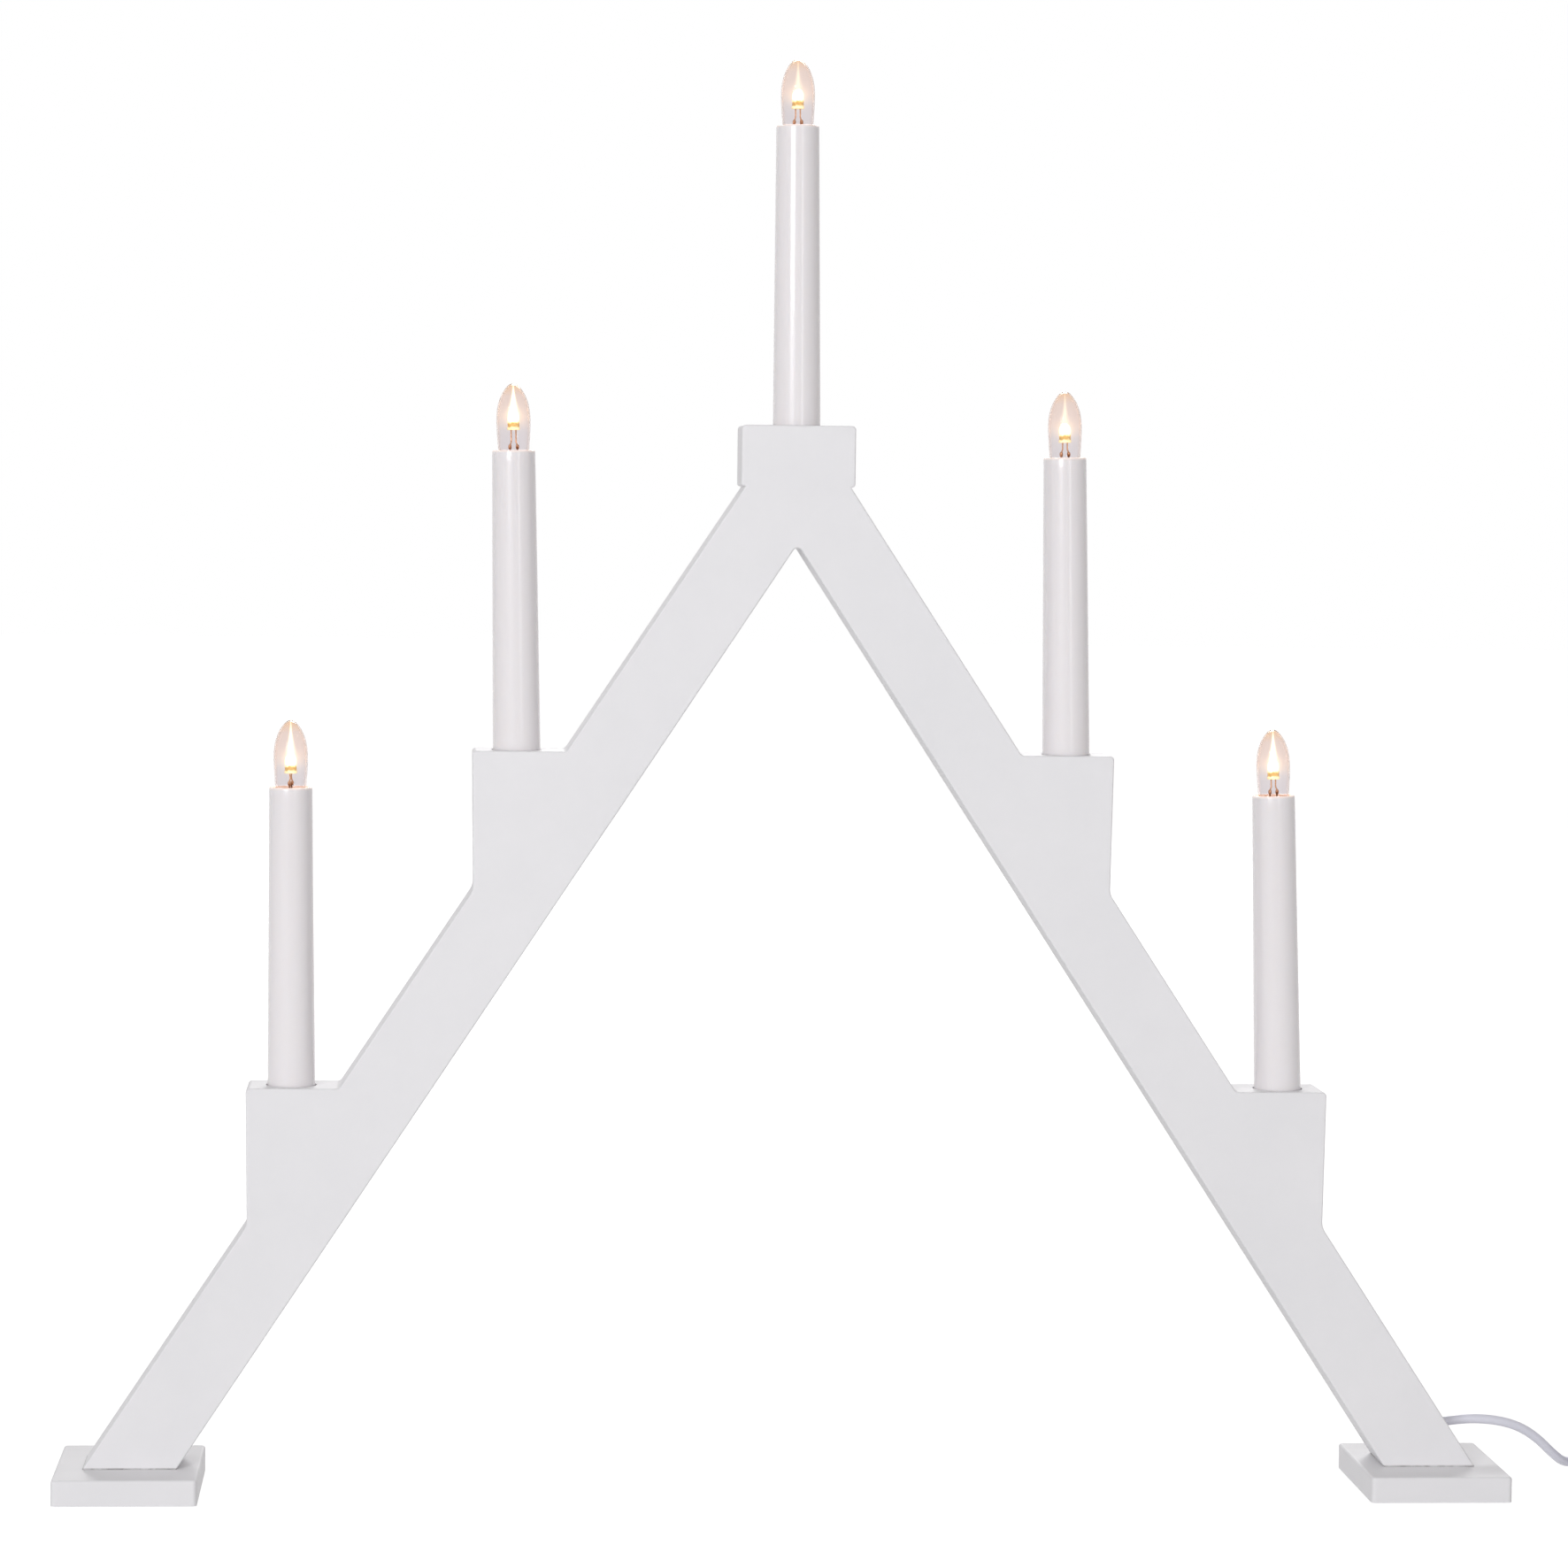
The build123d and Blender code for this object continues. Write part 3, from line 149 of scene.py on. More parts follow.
# Diode's light caught on the glass: (share of the way to the tip, half width, strength)
FLAME_STOPS = (
    (0.0, 1.4, 0.0),
    (0.12, 1.4, 0.3),
    (0.26, 1.0, 0.8),
    (0.48, 0.6, 0.8),
    (0.74, 0.24, 0.5),
    (0.92, 0.1, 0.3),
    (1.0, 0.1, 0.3),
)
FLAME_WIDEST = 1.4
FLAME_BLUR = 0.1
FLAME_SINK = 3.0
FLAME_COLOUR = (1.0, 0.86, 0.50)
FLAMES = {
    "left_outer": 0.7,
    "left_middle": 1.0,
    "top": 0.16,
    "right_middle": 0.16,
    "right_outer": 0.8,
}

# Diode: its light and body colours as (share of its height, colour), and its outline
LED_HEIGHT = 7.6
LED_STRENGTH = 6.0
LED_EDGE_SHARE = 0.14
LED_MOTTLE = 0.24
LED_GLOW = (
    (0.0, (0.24, 0.19, 0.10)),
    (0.13, (0.26, 0.21, 0.12)),
    (0.2, (0.10, 0.064, 0.02)),
    (0.32, (0.10, 0.064, 0.02)),
    (0.54, (0.9, 0.72, 0.38)),
    (1.0, (1.0, 0.82, 0.48)),
)
LED_BODY = (
    (0.0, (0.5, 0.42, 0.24)),
    (0.2, (0.34, 0.19, 0.06)),
    (0.38, (0.34, 0.19, 0.06)),
    (0.5, (0.5, 0.42, 0.22)),
)
LED_OUTLINE = (
    (0.0, 7.6),
    (0.75, 7.5),
    (1.35, 7.15),
    (1.85, 6.55),
    (2.15, 5.85),
    (2.28, 5.1),
    (2.3, 4.1),
    (2.3, 1.1),
    (2.42, 1.05),
    (2.5, 0.9),
    (2.5, 0.1),
    (2.4, 0.0),
    (0.0, 0.0),
)

# Diode's leads: outline as (radius, height above the rim), spacing, turns in degrees, and
# the slight wave along them
LEAD_OUTLINE = (
    (0.27, 4.4),
    (0.28, 3.2),
    (0.3, 2.3),
    (0.6, 2.0),
    (0.68, 1.4),
    (0.58, 0.6),
    (0.3, 0.4),
    (0.27, -15.4),
)
LEAD_RADIUS = 0.27
LEAD_OVERLAP = 0.2
LEAD_SPACING = 1.85
LEAD_TURNS = {
    "left_outer": 72.0,
    "left_middle": 0.0,
    "top": -16.0,
    "right_middle": -10.0,
    "right_outer": 8.0,
}
LEAD_WAVE = 0.12
LEAD_WAVE_RATE = 1.7
CRIMP_SPACING = 2.9
CRIMP_TOP = 2.7
CRIMP_RUN = 0.5

# Threaded cap of the bulb, with heights above the sleeve's rim
CAP_TOP = -5.0
CAP_LOW = -15.45
CAP_RADIUS = 4.65
CAP_WALL = 0.35
CAP_LIP = 0.4
CAP_LIP_ROUND = 0.12
CAP_HOLE_RADIUS = 2.45
CAP_FLOOR = 0.3
CAP_FLOOR_RADIUS = 3.85
CAP_BORE_RADIUS = 3.95
CAP_BORE_DEPTH = 2.6
CAP_MOUTH_RADIUS = 4.3
CAP_MOUTH_DEPTH = 1.0
CAP_ROWS = 72
THREAD_PITCH = 1.814
THREAD_DEPTH = 0.42
THREAD_FROM = -6.6
THREAD_TO = -14.6
THREAD_FADE = 0.8

# Mains lead: route corners of the free part and tail, and the coil's sizes
CORD_DIAMETER = 3.8
CORD_EXIT = (265.144, 7.1, 24.037)
CORD_CURVE_STEPS = 6
LEAD_ROUTE = (
    (273.067, 7.1, 25.15),
    (282.054, 7.571, 25.1),
    (290.967, 8.824, 23.7),
    (299.274, 11.049, 20.6),
    (306.887, 14.599, 15.2),
    (313.52, 19.419, 8.8),
    (319.999, 26.367, 3.6),
    (326.309, 35.378, 1.95),
    (332.309, 45.77, 1.95),
)
COIL_HEADING = 60.0
COIL_DIAMETER = 42.32
COIL_PITCH = 4.32
COIL_LAYERS = 4
COIL_LAYER_TURNS = 2.75
COIL_CLIMB_TURNS = 0.5
COIL_POINTS_PER_TURN = 20
COIL_REST = 1.95
TAIL_ROUTE = (
    (379.247, 18.67, 14.91),
    (374.747, 10.876, 14.91),
    (373.356, 0.973, 13.9),
    (376.279, -8.59, 11.4),
    (382.971, -16.021, 8.8),
    (392.176, -19.929, 6.9),
    (402.176, -19.929, 6.9),
)

# Surrounding light: its level all round, and what is added before and behind and from above
LIGHT_ROUND = 0.13
LIGHT_ALONG = 0.52
LIGHT_ABOVE = 0.10
LIGHT_COLOUR = (1.0, 0.975, 0.975)

# Floor: its tone for the light it throws back, its tone as seen, and the white added as seen
FLOOR_LIT = 0.80
FLOOR_SEEN = 0.35
FLOOR_WHITE = 0.87
FLOOR_DROP = 0.4
FLOOR_HALF_WIDTH = 12000.0

# Lamps, in metres and watts: (name, place, target, size, power, colour)
LAMPS = (
    ("key", (-1.7, -3.2, 1.2), (-0.05, 0.0, 0.2), (1.3, 1.1), 58.0, (0.97, 0.985, 1.0)),
    ("back", (0.3, 3.2, 1.8), (0.0, 0.0, 0.2), (1.3, 1.0), 42.0, (1.0, 1.0, 1.0)),
    ("side_strip", (0.9, -2.2, 0.9), (0.0, 0.0, 0.3), (0.2, 1.4), 4.0, (1.0, 1.0, 1.0)),
)

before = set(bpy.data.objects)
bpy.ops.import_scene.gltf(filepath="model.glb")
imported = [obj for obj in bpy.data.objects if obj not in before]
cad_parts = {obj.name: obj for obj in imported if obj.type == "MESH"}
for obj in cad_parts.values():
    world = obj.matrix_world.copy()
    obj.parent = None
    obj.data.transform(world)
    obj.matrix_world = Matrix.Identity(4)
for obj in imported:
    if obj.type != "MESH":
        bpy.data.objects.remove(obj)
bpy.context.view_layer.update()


# Camera


def camera_axes():
    """Rows right, down and forward of the camera in the part's frame."""
    yaw = Matrix.Rotation(math.radians(CAMERA_YAW), 3, "Z")
    base = Matrix(((1, 0, 0), (0, 0, -1), (0, 1, 0)))
    pitch = Matrix.Rotation(math.radians(CAMERA_PITCH), 3, "X")
    roll = Matrix.Rotation(math.radians(CAMERA_ROLL), 3, "Z")
    return roll @ pitch @ base @ yaw


def make_camera():
    data = bpy.data.cameras.new("photo_camera")
    data.sensor_fit = "HORIZONTAL"
    data.sensor_width = SENSOR
    data.lens = SENSOR * FOCAL_PIXELS / PHOTO_PIXELS
    data.clip_start = CLIP_NEAR
    data.clip_end = CLIP_FAR
    camera = bpy.data.objects.new("photo_camera", data)
    right, down, forward = camera_axes()
    turned = Matrix((right, -down, -forward)).transposed().to_4x4()
    camera.matrix_world = Matrix.Translation(Vector(CAMERA_PLACE) * MM) @ turned
    bpy.context.scene.collection.objects.link(camera)
    bpy.context.scene.camera = camera


make_camera()


# Steps that the materials are built from


def new_material(name, **values):
    """A material with a Principled shader, its sockets set to plain values."""
    material = bpy.data.materials.new(name)
    material.use_nodes = True
    for key, value in values.items():
        shader_of(material).inputs[key.replace("_", " ")].default_value = value
    return material


def shader_of(material):
    return material.node_tree.nodes["Principled BSDF"]


def add_node(material, kind, **settings):
    """A node of this kind; each setting is one of its inputs or one of its options."""
    node = material.node_tree.nodes.new(kind)
    for key, value in settings.items():
        socket = key.replace("_", " ")
        if socket in node.inputs:
            node.inputs[socket].default_value = value
        else:
            setattr(node, key, value)
    return node


def link(material, source, target):
    material.node_tree.links.new(source, target)


def feed(material, value, socket):
    """Joins another node's output to a socket, or sets the socket to a plain value."""
    if isinstance(value, bpy.types.NodeSocket):
        link(material, value, socket)
    else:
        socket.default_value = value


def math_node(material, operation, first, second=0.0, third=0.0):
    """One arithmetic step; each input is a number or another node's output."""
    node = add_node(material, "ShaderNodeMath", operation=operation)
    for socket, value in zip(node.inputs, (first, second, third)):
        feed(material, value, socket)
    return node.outputs[0]


def vector_node(material, operation, *values):
    """One step of vector arithmetic; each input is a vector or another node's output."""
    node = add_node(material, "ShaderNodeVectorMath", operation=operation)
    for socket, value in zip(node.inputs, values):
        feed(material, value, socket)
    return node.outputs["Value" if operation == "LENGTH" else "Vector"]


def scaled(material, colour, strength):
    """A colour times a strength."""
    node = add_node(material, "ShaderNodeVectorMath", operation="SCALE")
    feed(material, colour, node.inputs[0])
    feed(material, strength, node.inputs["Scale"])
    return node.outputs["Vector"]


def mix_colours(material, share, first, second):
    """The first colour where the share is 0, and the second where it is 1."""
    mix = add_node(material, "ShaderNodeMix", data_type="RGBA")
    colours = [socket for socket in mix.inputs if socket.type == "RGBA"]
    link(material, share, mix.inputs["Factor"])
    feed(material, first, colours[0])
    feed(material, second, colours[1])
    return next(socket for socket in mix.outputs if socket.type == "RGBA")


def between(material, share, low, high):
    """A number that goes from low to high as the share goes from 0 to 1."""
    spread = add_node(material, "ShaderNodeMapRange", To_Min=low, To_Max=high)
    link(material, share, spread.inputs["Value"])
    return spread.outputs["Result"]


def colour_ramp(material, factor, stops):
    """Colour over a factor, from (position, colour) stops."""
    ramp = add_node(material, "ShaderNodeValToRGB")
    elements = ramp.color_ramp.elements
    while len(elements) < len(stops):
        elements.new(1.0)
    for element, (position, colour) in zip(elements, stops):
        element.position = position
        element.color = (*colour, 1)
    link(material, factor, ramp.inputs["Fac"])
    return ramp.outputs["Color"]


def own_place(material):
    """A point's place in the piece's own frame."""
    return add_node(material, "ShaderNodeTexCoord").outputs["Object"]


def height_share(material, low, high, clamp=True):
    """Share of the way from one height to another, in the piece's own frame."""
    split = add_node(material, "ShaderNodeSeparateXYZ")
    link(material, own_place(material), split.inputs["Vector"])
    spread = add_node(
        material, "ShaderNodeMapRange", From_Min=low * MM, From_Max=high * MM, clamp=clamp
    )
    link(material, split.outputs["Z"], spread.inputs["Value"])
    return spread.outputs["Result"]


def noise(material, scale, detail=4.0, roughness=0.55, stretch=(1, 1, 1)):
    """Noise in the piece's own frame; scale is in features per metre."""
    mapping = add_node(material, "ShaderNodeMapping", Scale=stretch)
    texture = add_node(
        material, "ShaderNodeTexNoise", Scale=scale, Detail=detail, Roughness=roughness
    )
    link(material, own_place(material), mapping.inputs["Vector"])
    link(material, mapping.outputs["Vector"], texture.inputs["Vector"])
    return texture.outputs["Fac"]


def wander(material, scale, detail, width):
    """Noise spread evenly about zero, this wide in all."""
    return math_node(material, "MULTIPLY_ADD", noise(material, scale, detail), width, -width / 2)


def vary_colour(material, factor, low, high):
    """Base colour that wanders between two near tones."""
    tone = colour_ramp(material, factor, ((0.3, low), (0.7, high)))
    link(material, tone, shader_of(material).inputs["Base Color"])


def vary_roughness(material, factor, low, high):
    rough = between(material, factor, low, high)
    link(material, rough, shader_of(material).inputs["Roughness"])


def bump(material, height, distance, strength=1.0, under=None):
    """Fine relief on the piece; the distance is in metres."""
    node = add_node(material, "ShaderNodeBump", Strength=strength, Distance=distance)
    link(material, height, node.inputs["Height"])
    if under is not None:
        link(material, under.outputs["Normal"], node.inputs["Normal"])
    link(material, node.outputs["Normal"], shader_of(material).inputs["Normal"])
    return node


# Lacquers, plastics and metals


def white_lacquer(name="white_lacquer"):
    """Sprayed matt lacquer: slight orange peel, faint tone drift."""
    material = new_material(name, Coat_Weight=0.03, Coat_Roughness=0.4, IOR=1.33)
    drift = noise(material, 14.0, 10.0, 0.68)
    vary_colour(material, drift, (0.783, 0.778, 0.794), (0.823, 0.814, 0.828))
    vary_roughness(material, noise(material, 60.0, 5.0), 0.48, 0.62)
    broad = bump(material, noise(material, 260.0, 2.0, 0.5), 0.00012, 0.22)
    bump(material, noise(material, 1500.0, 3.0, 0.6), 0.00004, 0.22, broad)
    return material


def arm_lacquer():
    """Lacquer of the arms, with a thin broken line of painted shade where they stand on the
    plates.
    """
    material = white_lacquer("arm_lacquer")
    base = shader_of(material).inputs["Base Color"]
    tone = base.links[0].from_socket
    # painted shade: the lacquer darkens in a broken band just above the plates' top
    near = height_share(material, PLATE_TOP + SEAM_SHADE_HEIGHT, PLATE_TOP)
    broken = math_node(material, "MULTIPLY_ADD", noise(material, 320.0, 3.0), *SEAM_SHADE_BREAKS)
    share = math_node(material, "MULTIPLY", near, broken)
    link(material, mix_colours(material, share, tone, (*SEAM_SHADE_TONE, 1)), base)
    return material


def moulded(name, low, high, rough=(0.35, 0.5), peel=700.0):
    """Moulded plastic with a fine even texture."""
    material = new_material(name, IOR=1.48)
    vary_colour(material, noise(material, 50.0, 3.0), low, high)
    vary_roughness(material, noise(material, 300.0, 3.0), *rough)
    bump(material, noise(material, peel, 3.0), 0.00004, 0.35)
    return material


def metal(name, low, high, rough=(0.22, 0.38), stretch=(1, 1, 1)):
    """Rolled or plated metal with fine scratches and dull patches."""
    material = new_material(name, Metallic=1.0)
    vary_colour(material, noise(material, 220.0, 5.0), low, high)
    vary_roughness(material, noise(material, 900.0, 4.0, 0.6, stretch), *rough)
    bump(material, noise(material, 1800.0, 3.0, 0.6, stretch), 0.00002, 0.3)
    return material


# Lit sleeve, bulb and diode


def level_part(material, source):
    """A vector with its height taken away."""
    return vector_node(material, "MULTIPLY", source, (1, 1, 0))


def distance_from_axis(material):
    """How far a point of the piece lies from the piece's own axis."""
    return vector_node(material, "LENGTH", level_part(material, own_place(material)))


def seen_offset(material):
    """How far beside the bulb's axis a point of the glass is seen."""
    geometry = add_node(material, "ShaderNodeNewGeometry")
    ways = [
        vector_node(material, "NORMALIZE", level_part(material, geometry.outputs[name]))
        for name in ("Normal", "Incoming")
    ]
    sine = vector_node(material, "LENGTH", vector_node(material, "CROSS_PRODUCT", *ways))
    return math_node(material, "MULTIPLY", sine, distance_from_axis(material))


def rim_light(material):
    """Glow of the bulb through the sleeve's thin rim and on the inside of its mouth."""
    near_rim = height_share(material, RIM - RIM_GLOW_DEPTH, RIM)
    sharp = math_node(material, "POWER", near_rim, RIM_GLOW_POWER)
    rim = math_node(material, "MULTIPLY", sharp, RIM_GLOW)
    inside = math_node(material, "LESS_THAN", distance_from_axis(material), MOUTH_RADIUS * MM)
    near_mouth = height_share(material, RIM - MOUTH_GLOW_DEPTH, RIM)
    glow = math_node(material, "MULTIPLY", near_mouth, MOUTH_GLOW)
    return math_node(material, "MAXIMUM", rim, math_node(material, "MULTIPLY", inside, glow))


def sleeve_plastic():
    """Injection-moulded glossy plastic with faint flow marks along its length."""
    material = new_material(
        "sleeve_plastic",
        Coat_Weight=0.25,
        Coat_Roughness=0.06,
        IOR=1.49,
        Subsurface_Weight=0.08,
        Subsurface_Radius=(0.004, 0.003, 0.0022),
        Subsurface_Scale=0.6,
        Emission_Color=(*RIM_GLOW_COLOUR, 1),
    )
    flow = noise(material, 30.0, 2.0, 0.5, (1, 1, 0.12))
    vary_colour(material, flow, (0.80, 0.762, 0.772), (0.83, 0.797, 0.807))
    vary_roughness(material, noise(material, 240.0, 4.0), 0.16, 0.24)
    bump(material, noise(material, 420.0, 2.0, 0.5, (1, 1, 0.1)), 0.00003, 0.25)
    link(material, rim_light(material), shader_of(material).inputs["Emission Strength"])
    return material


def bell(material, square):
    """Bell curve of a squared distance."""
    return math_node(material, "EXPONENT", math_node(material, "MULTIPLY", square, -1.0))


def halo(material, offset, rise):
    """Strength of the round glow about the diode."""
    middle = RIM + rise + GLOW_RISE
    beside = math_node(material, "DIVIDE", offset, GLOW_REACH * MM)
    away = height_share(material, middle, middle + GLOW_REACH, clamp=False)
    square = math_node(
        material, "MULTIPLY_ADD", beside, beside, math_node(material, "MULTIPLY", away, away)
    )
    return math_node(material, "MULTIPLY", bell(material, square), GLOW_STRENGTH)


def flame(material, offset, rise, power):
    """Strength of the tapering streak above the diode."""
    low = RIM + rise + LED_HEIGHT - FLAME_SINK
    share = height_share(material, low, RIM + BULB_HEIGHT)
    widths = [(place, (width / FLAME_WIDEST,) * 3) for place, width, _ in FLAME_STOPS]
    strengths = [(place, (strength * power,) * 3) for place, _, strength in FLAME_STOPS]
    wide = colour_ramp(material, share, widths)
    width = math_node(material, "MULTIPLY_ADD", wide, FLAME_WIDEST * MM, FLAME_BLUR * MM)
    reach = math_node(material, "DIVIDE", offset, width)
    fade = bell(material, math_node(material, "MULTIPLY", reach, reach))
    return math_node(material, "MULTIPLY", fade, colour_ramp(material, share, strengths))


def bulb_light(material, rise, power):
    """Halo round the diode and the flame above it, caught on the glass."""
    offset = seen_offset(material)
    glow = scaled(material, GLOW_COLOUR, halo(material, offset, rise))
    streak = scaled(material, FLAME_COLOUR, flame(material, offset, rise, power))
    return vector_node(material, "ADD", glow, streak)


def glass_tint_and_glow(material):
    """Greyish low down, warmer higher up where the diode's light is painted in, in faint upright
    streaks.
    """
    rippled = math_node(
        material,
        "ADD",
        height_share(material, RIM, RIM + BULB_HEIGHT),
        wander(material, 160.0, 2.0, GLASS_RIPPLE),
    )
    streaks = between(material, noise(material, 520.0, 2.0, 0.6, (1, 1, 0.05)), *GLASS_STREAKS)
    return scaled(material, colour_ramp(material, rippled, GLASS_GLOW_TINTS), streaks)


def absorb_in_depth(material):
    """Tint that grows with the glass's thickness along the view."""
    depth = add_node(
        material,
        "ShaderNodeVolumeAbsorption",
        Density=GLASS_DEPTH,
        Color=(*GLASS_DEPTH_TINT, 1),
    )
    output = material.node_tree.nodes["Material Output"]
    link(material, depth.outputs["Volume"], output.inputs["Volume"])


def clear_glass(name, rise, power):
    """Thin blown glass with the diode's light painted on it, and painted warm shade along its
    edges.
    """
    material = new_material(name, IOR=1.14, Roughness=0.0, Emission_Strength=1.0)
    inputs = shader_of(material).inputs
    # painted shade: where the surface turns away, a warm darker tint takes the place of clear
    # glass
    edge = add_node(material, "ShaderNodeLayerWeight", Blend=0.5)
    share = math_node(material, "POWER", edge.outputs["Facing"], GLASS_EDGE_POWER)
    tint = mix_colours(material, share, glass_tint_and_glow(material), (*GLASS_EDGE_SHADE_TINT, 1))
    clear = math_node(material, "MULTIPLY_ADD", share, -GLASS_EDGE_SHADE_COVER, 1.0)
    link(material, tint, inputs["Base Color"])
    link(material, clear, inputs["Transmission Weight"])
    link(material, bulb_light(material, rise, power), inputs["Emission Color"])
    absorb_in_depth(material)
    bump(material, noise(material, 180.0, 1.0, 0.4), 0.00006, 0.12)
    return material


def lit_diode():
    """Clear resin lit from its chip: a white dome, a golden frame below it and a bright flange."""
    material = new_material("lit_diode", Roughness=0.12, IOR=1.5)
    inputs = shader_of(material).inputs
    height = height_share(material, 0.0, LED_HEIGHT)
    mottled = math_node(material, "ADD", height, wander(material, 900.0, 2.0, LED_MOTTLE))
    facing = add_node(material, "ShaderNodeLayerWeight", Blend=0.5)
    inward = math_node(material, "SUBTRACT", 1.0, facing.outputs["Facing"])
    strength = between(material, inward, LED_EDGE_SHARE * LED_STRENGTH, LED_STRENGTH)
    link(material, colour_ramp(material, mottled, LED_GLOW), inputs["Emission Color"])
    link(material, colour_ramp(material, height, LED_BODY), inputs["Base Color"])
    link(material, strength, inputs["Emission Strength"])
    return material


LACQUER = white_lacquer()
ARM_LACQUER = arm_lacquer()
SLEEVE = sleeve_plastic()
HOLDER = moulded("holder_plastic", (0.66, 0.64, 0.60), (0.74, 0.72, 0.68))
WIRE = moulded("wire_sheath", (0.78, 0.78, 0.76), (0.84, 0.84, 0.82), (0.3, 0.45), 1200.0)
CORD = moulded("cord_sheath", (0.70, 0.70, 0.78), (0.76, 0.76, 0.84), (0.28, 0.42), 900.0)
PLUG = moulded("plug_plastic", (0.80, 0.80, 0.80), (0.84, 0.84, 0.84), (0.25, 0.38), 500.0)
BLACK = moulded("black_insulator", (0.02, 0.02, 0.022), (0.05, 0.05, 0.05), (0.1, 0.2))
BRASS = metal("brass", (0.66, 0.48, 0.22), (0.80, 0.64, 0.36))
NICKEL = metal("cap_metal", (0.62, 0.59, 0.52), (0.76, 0.74, 0.68))
COPPER = metal("lead_metal", (0.44, 0.21, 0.11), (0.74, 0.44, 0.27), (0.3, 0.5))
STEEL = metal("zinc_steel", (0.55, 0.56, 0.58), (0.68, 0.69, 0.70))
PINS = metal("pin_metal", (0.66, 0.66, 0.65), (0.78, 0.78, 0.76), (0.12, 0.24), (1, 1, 0.2))
GLASSES = {
    name: clear_glass("clear_glass_" + name, LED_RISES[name], FLAMES[name]) for name in CANDLES
}
DIODE = lit_diode()

NODE_MATERIALS = {
    "arch_board": ARM_LACQUER,
    "foot_plate": LACQUER,
    "foot_screws": STEEL,
    "wire_staples": STEEL,
    "cord_clamp_screws": STEEL,
    "cord_clamp": PLUG,
    "link_wire": WIRE,
    "feed_wire": WIRE,
    "return_wire": WIRE,
    "cord_inlet": CORD,
    "lamp_holder": HOLDER,
    "screw_shell": BRASS,
    "centre_contact": BRASS,
    "bulb_base": BLACK,
    "plug_body": PLUG,
    "plug_pins": PINS,
}


def paint(obj, material):
    obj.data.materials.clear()
    obj.data.materials.append(material)


def paint_nodes():
    """Each CAD node takes the material whose name it starts with, the longest match first."""
    for name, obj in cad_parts.items():
        matches = [key for key in NODE_MATERIALS if name.startswith(key)]
        if matches:
            paint(obj, NODE_MATERIALS[max(matches, key=len)])


paint_nodes()


# Mains lead


def heading_way(degrees):
    return Vector((math.cos(math.radians(degrees)), math.sin(math.radians(degrees)), 0))


def coil_points(start):
    """Points of the wound length, layer on layer, from its start on the outer turn."""
    span = COIL_LAYER_TURNS * COIL_PITCH
    centre = start + (COIL_DIAMETER + span) / 2 * heading_way(COIL_HEADING - 90)
    period = COIL_LAYER_TURNS + COIL_CLIMB_TURNS
    turns = COIL_LAYERS * period - COIL_CLIMB_TURNS
    points = []
    for index in range(round(turns * COIL_POINTS_PER_TURN) + 1):
        turn = index / COIL_POINTS_PER_TURN
        layer = min(int(turn / period), COIL_LAYERS - 1)
        inside = turn - layer * period
        wound = min(inside, COIL_LAYER_TURNS)
        climbed = max(inside - COIL_LAYER_TURNS, 0.0) / COIL_CLIMB_TURNS
        inward = 1 if layer % 2 == 0 else -1
        swell = COIL_PITCH * COIL_CLIMB_TURNS / math.pi * math.sin(math.pi * climbed)
        radius = COIL_DIAMETER / 2 + inward * (COIL_PITCH * (COIL_LAYER_TURNS / 2 - wound) - swell)
        lift = layer + (1 - math.cos(math.pi * climbed)) / 2
        place = centre + radius * heading_way(COIL_HEADING + 90 - 360 * turn)
        place.z = COIL_REST + COIL_PITCH * lift
        points.append(place)
    return points


def cord_points():
    """Control points of the whole free lead."""
    lead = [Vector(CORD_EXIT)] + [Vector(point) for point in LEAD_ROUTE]
    way = heading_way(COIL_HEADING)
    coil = coil_points(lead[-1] + CORD_DIAMETER * way)
    tail = [Vector(point) for point in TAIL_ROUTE]
    return lead + coil + tail


def spline_piece(name, points, radius, material):
    """A round tube on a smooth spline with these control points."""
    data = bpy.data.curves.new(name, "CURVE")
    data.dimensions = "3D"
    spline = data.splines.new("NURBS")
    spline.points.add(len(points) - 1)
    for control, point in zip(spline.points, points):
        control.co = (*(point * MM), 1)
    spline.order_u = 3
    spline.use_endpoint_u = True
    spline.resolution_u = CORD_CURVE_STEPS
    data.bevel_depth = radius * MM
    data.bevel_resolution = CORD_CURVE_STEPS
    data.use_fill_caps = True
    obj = bpy.data.objects.new(name, data)
    obj.data.materials.append(material)
    bpy.context.scene.collection.objects.link(obj)
    return obj


mains_lead = spline_piece("mains_lead", cord_points(), CORD_DIAMETER / 2, CORD)
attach(mains_lead, "arch")
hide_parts("power_cord", "cord_coil", "cord_tail")


# Turned pieces


def turned_piece(name, outline, material, closed=False, radius_at=None):
    """A smooth piece turned about Z from (radius, height) points."""
    vertices = []
    rings = []
    for radius, height in outline:
        first = len(vertices)
        if radius == 0.0:
            rings.append([first])
            vertices.append((0.0, 0.0, height * MM))
            continue
        for side in range(TURNED_SIDES):
            angle = 2 * math.pi * side / TURNED_SIDES
            here = radius if radius_at is None else radius_at(radius, height, angle)
            place = (here * math.cos(angle) * MM, here * math.sin(angle) * MM, height * MM)
            vertices.append(place)
        rings.append(list(range(first, first + TURNED_SIDES)))
    pairs = list(zip(rings, rings[1:]))
    if closed:
        pairs.append((rings[-1], rings[0]))
    faces = [face for upper, lower in pairs for face in band(upper, lower)]
    mesh = bpy.data.meshes.new(name)
    mesh.from_pydata(vertices, [], faces)
    mesh.polygons.foreach_set("use_smooth", [True] * len(faces))
    mesh.update()
    obj = bpy.data.objects.new(name, mesh)
    obj.data.materials.append(material)
    bpy.context.scene.collection.objects.link(obj)
    return obj


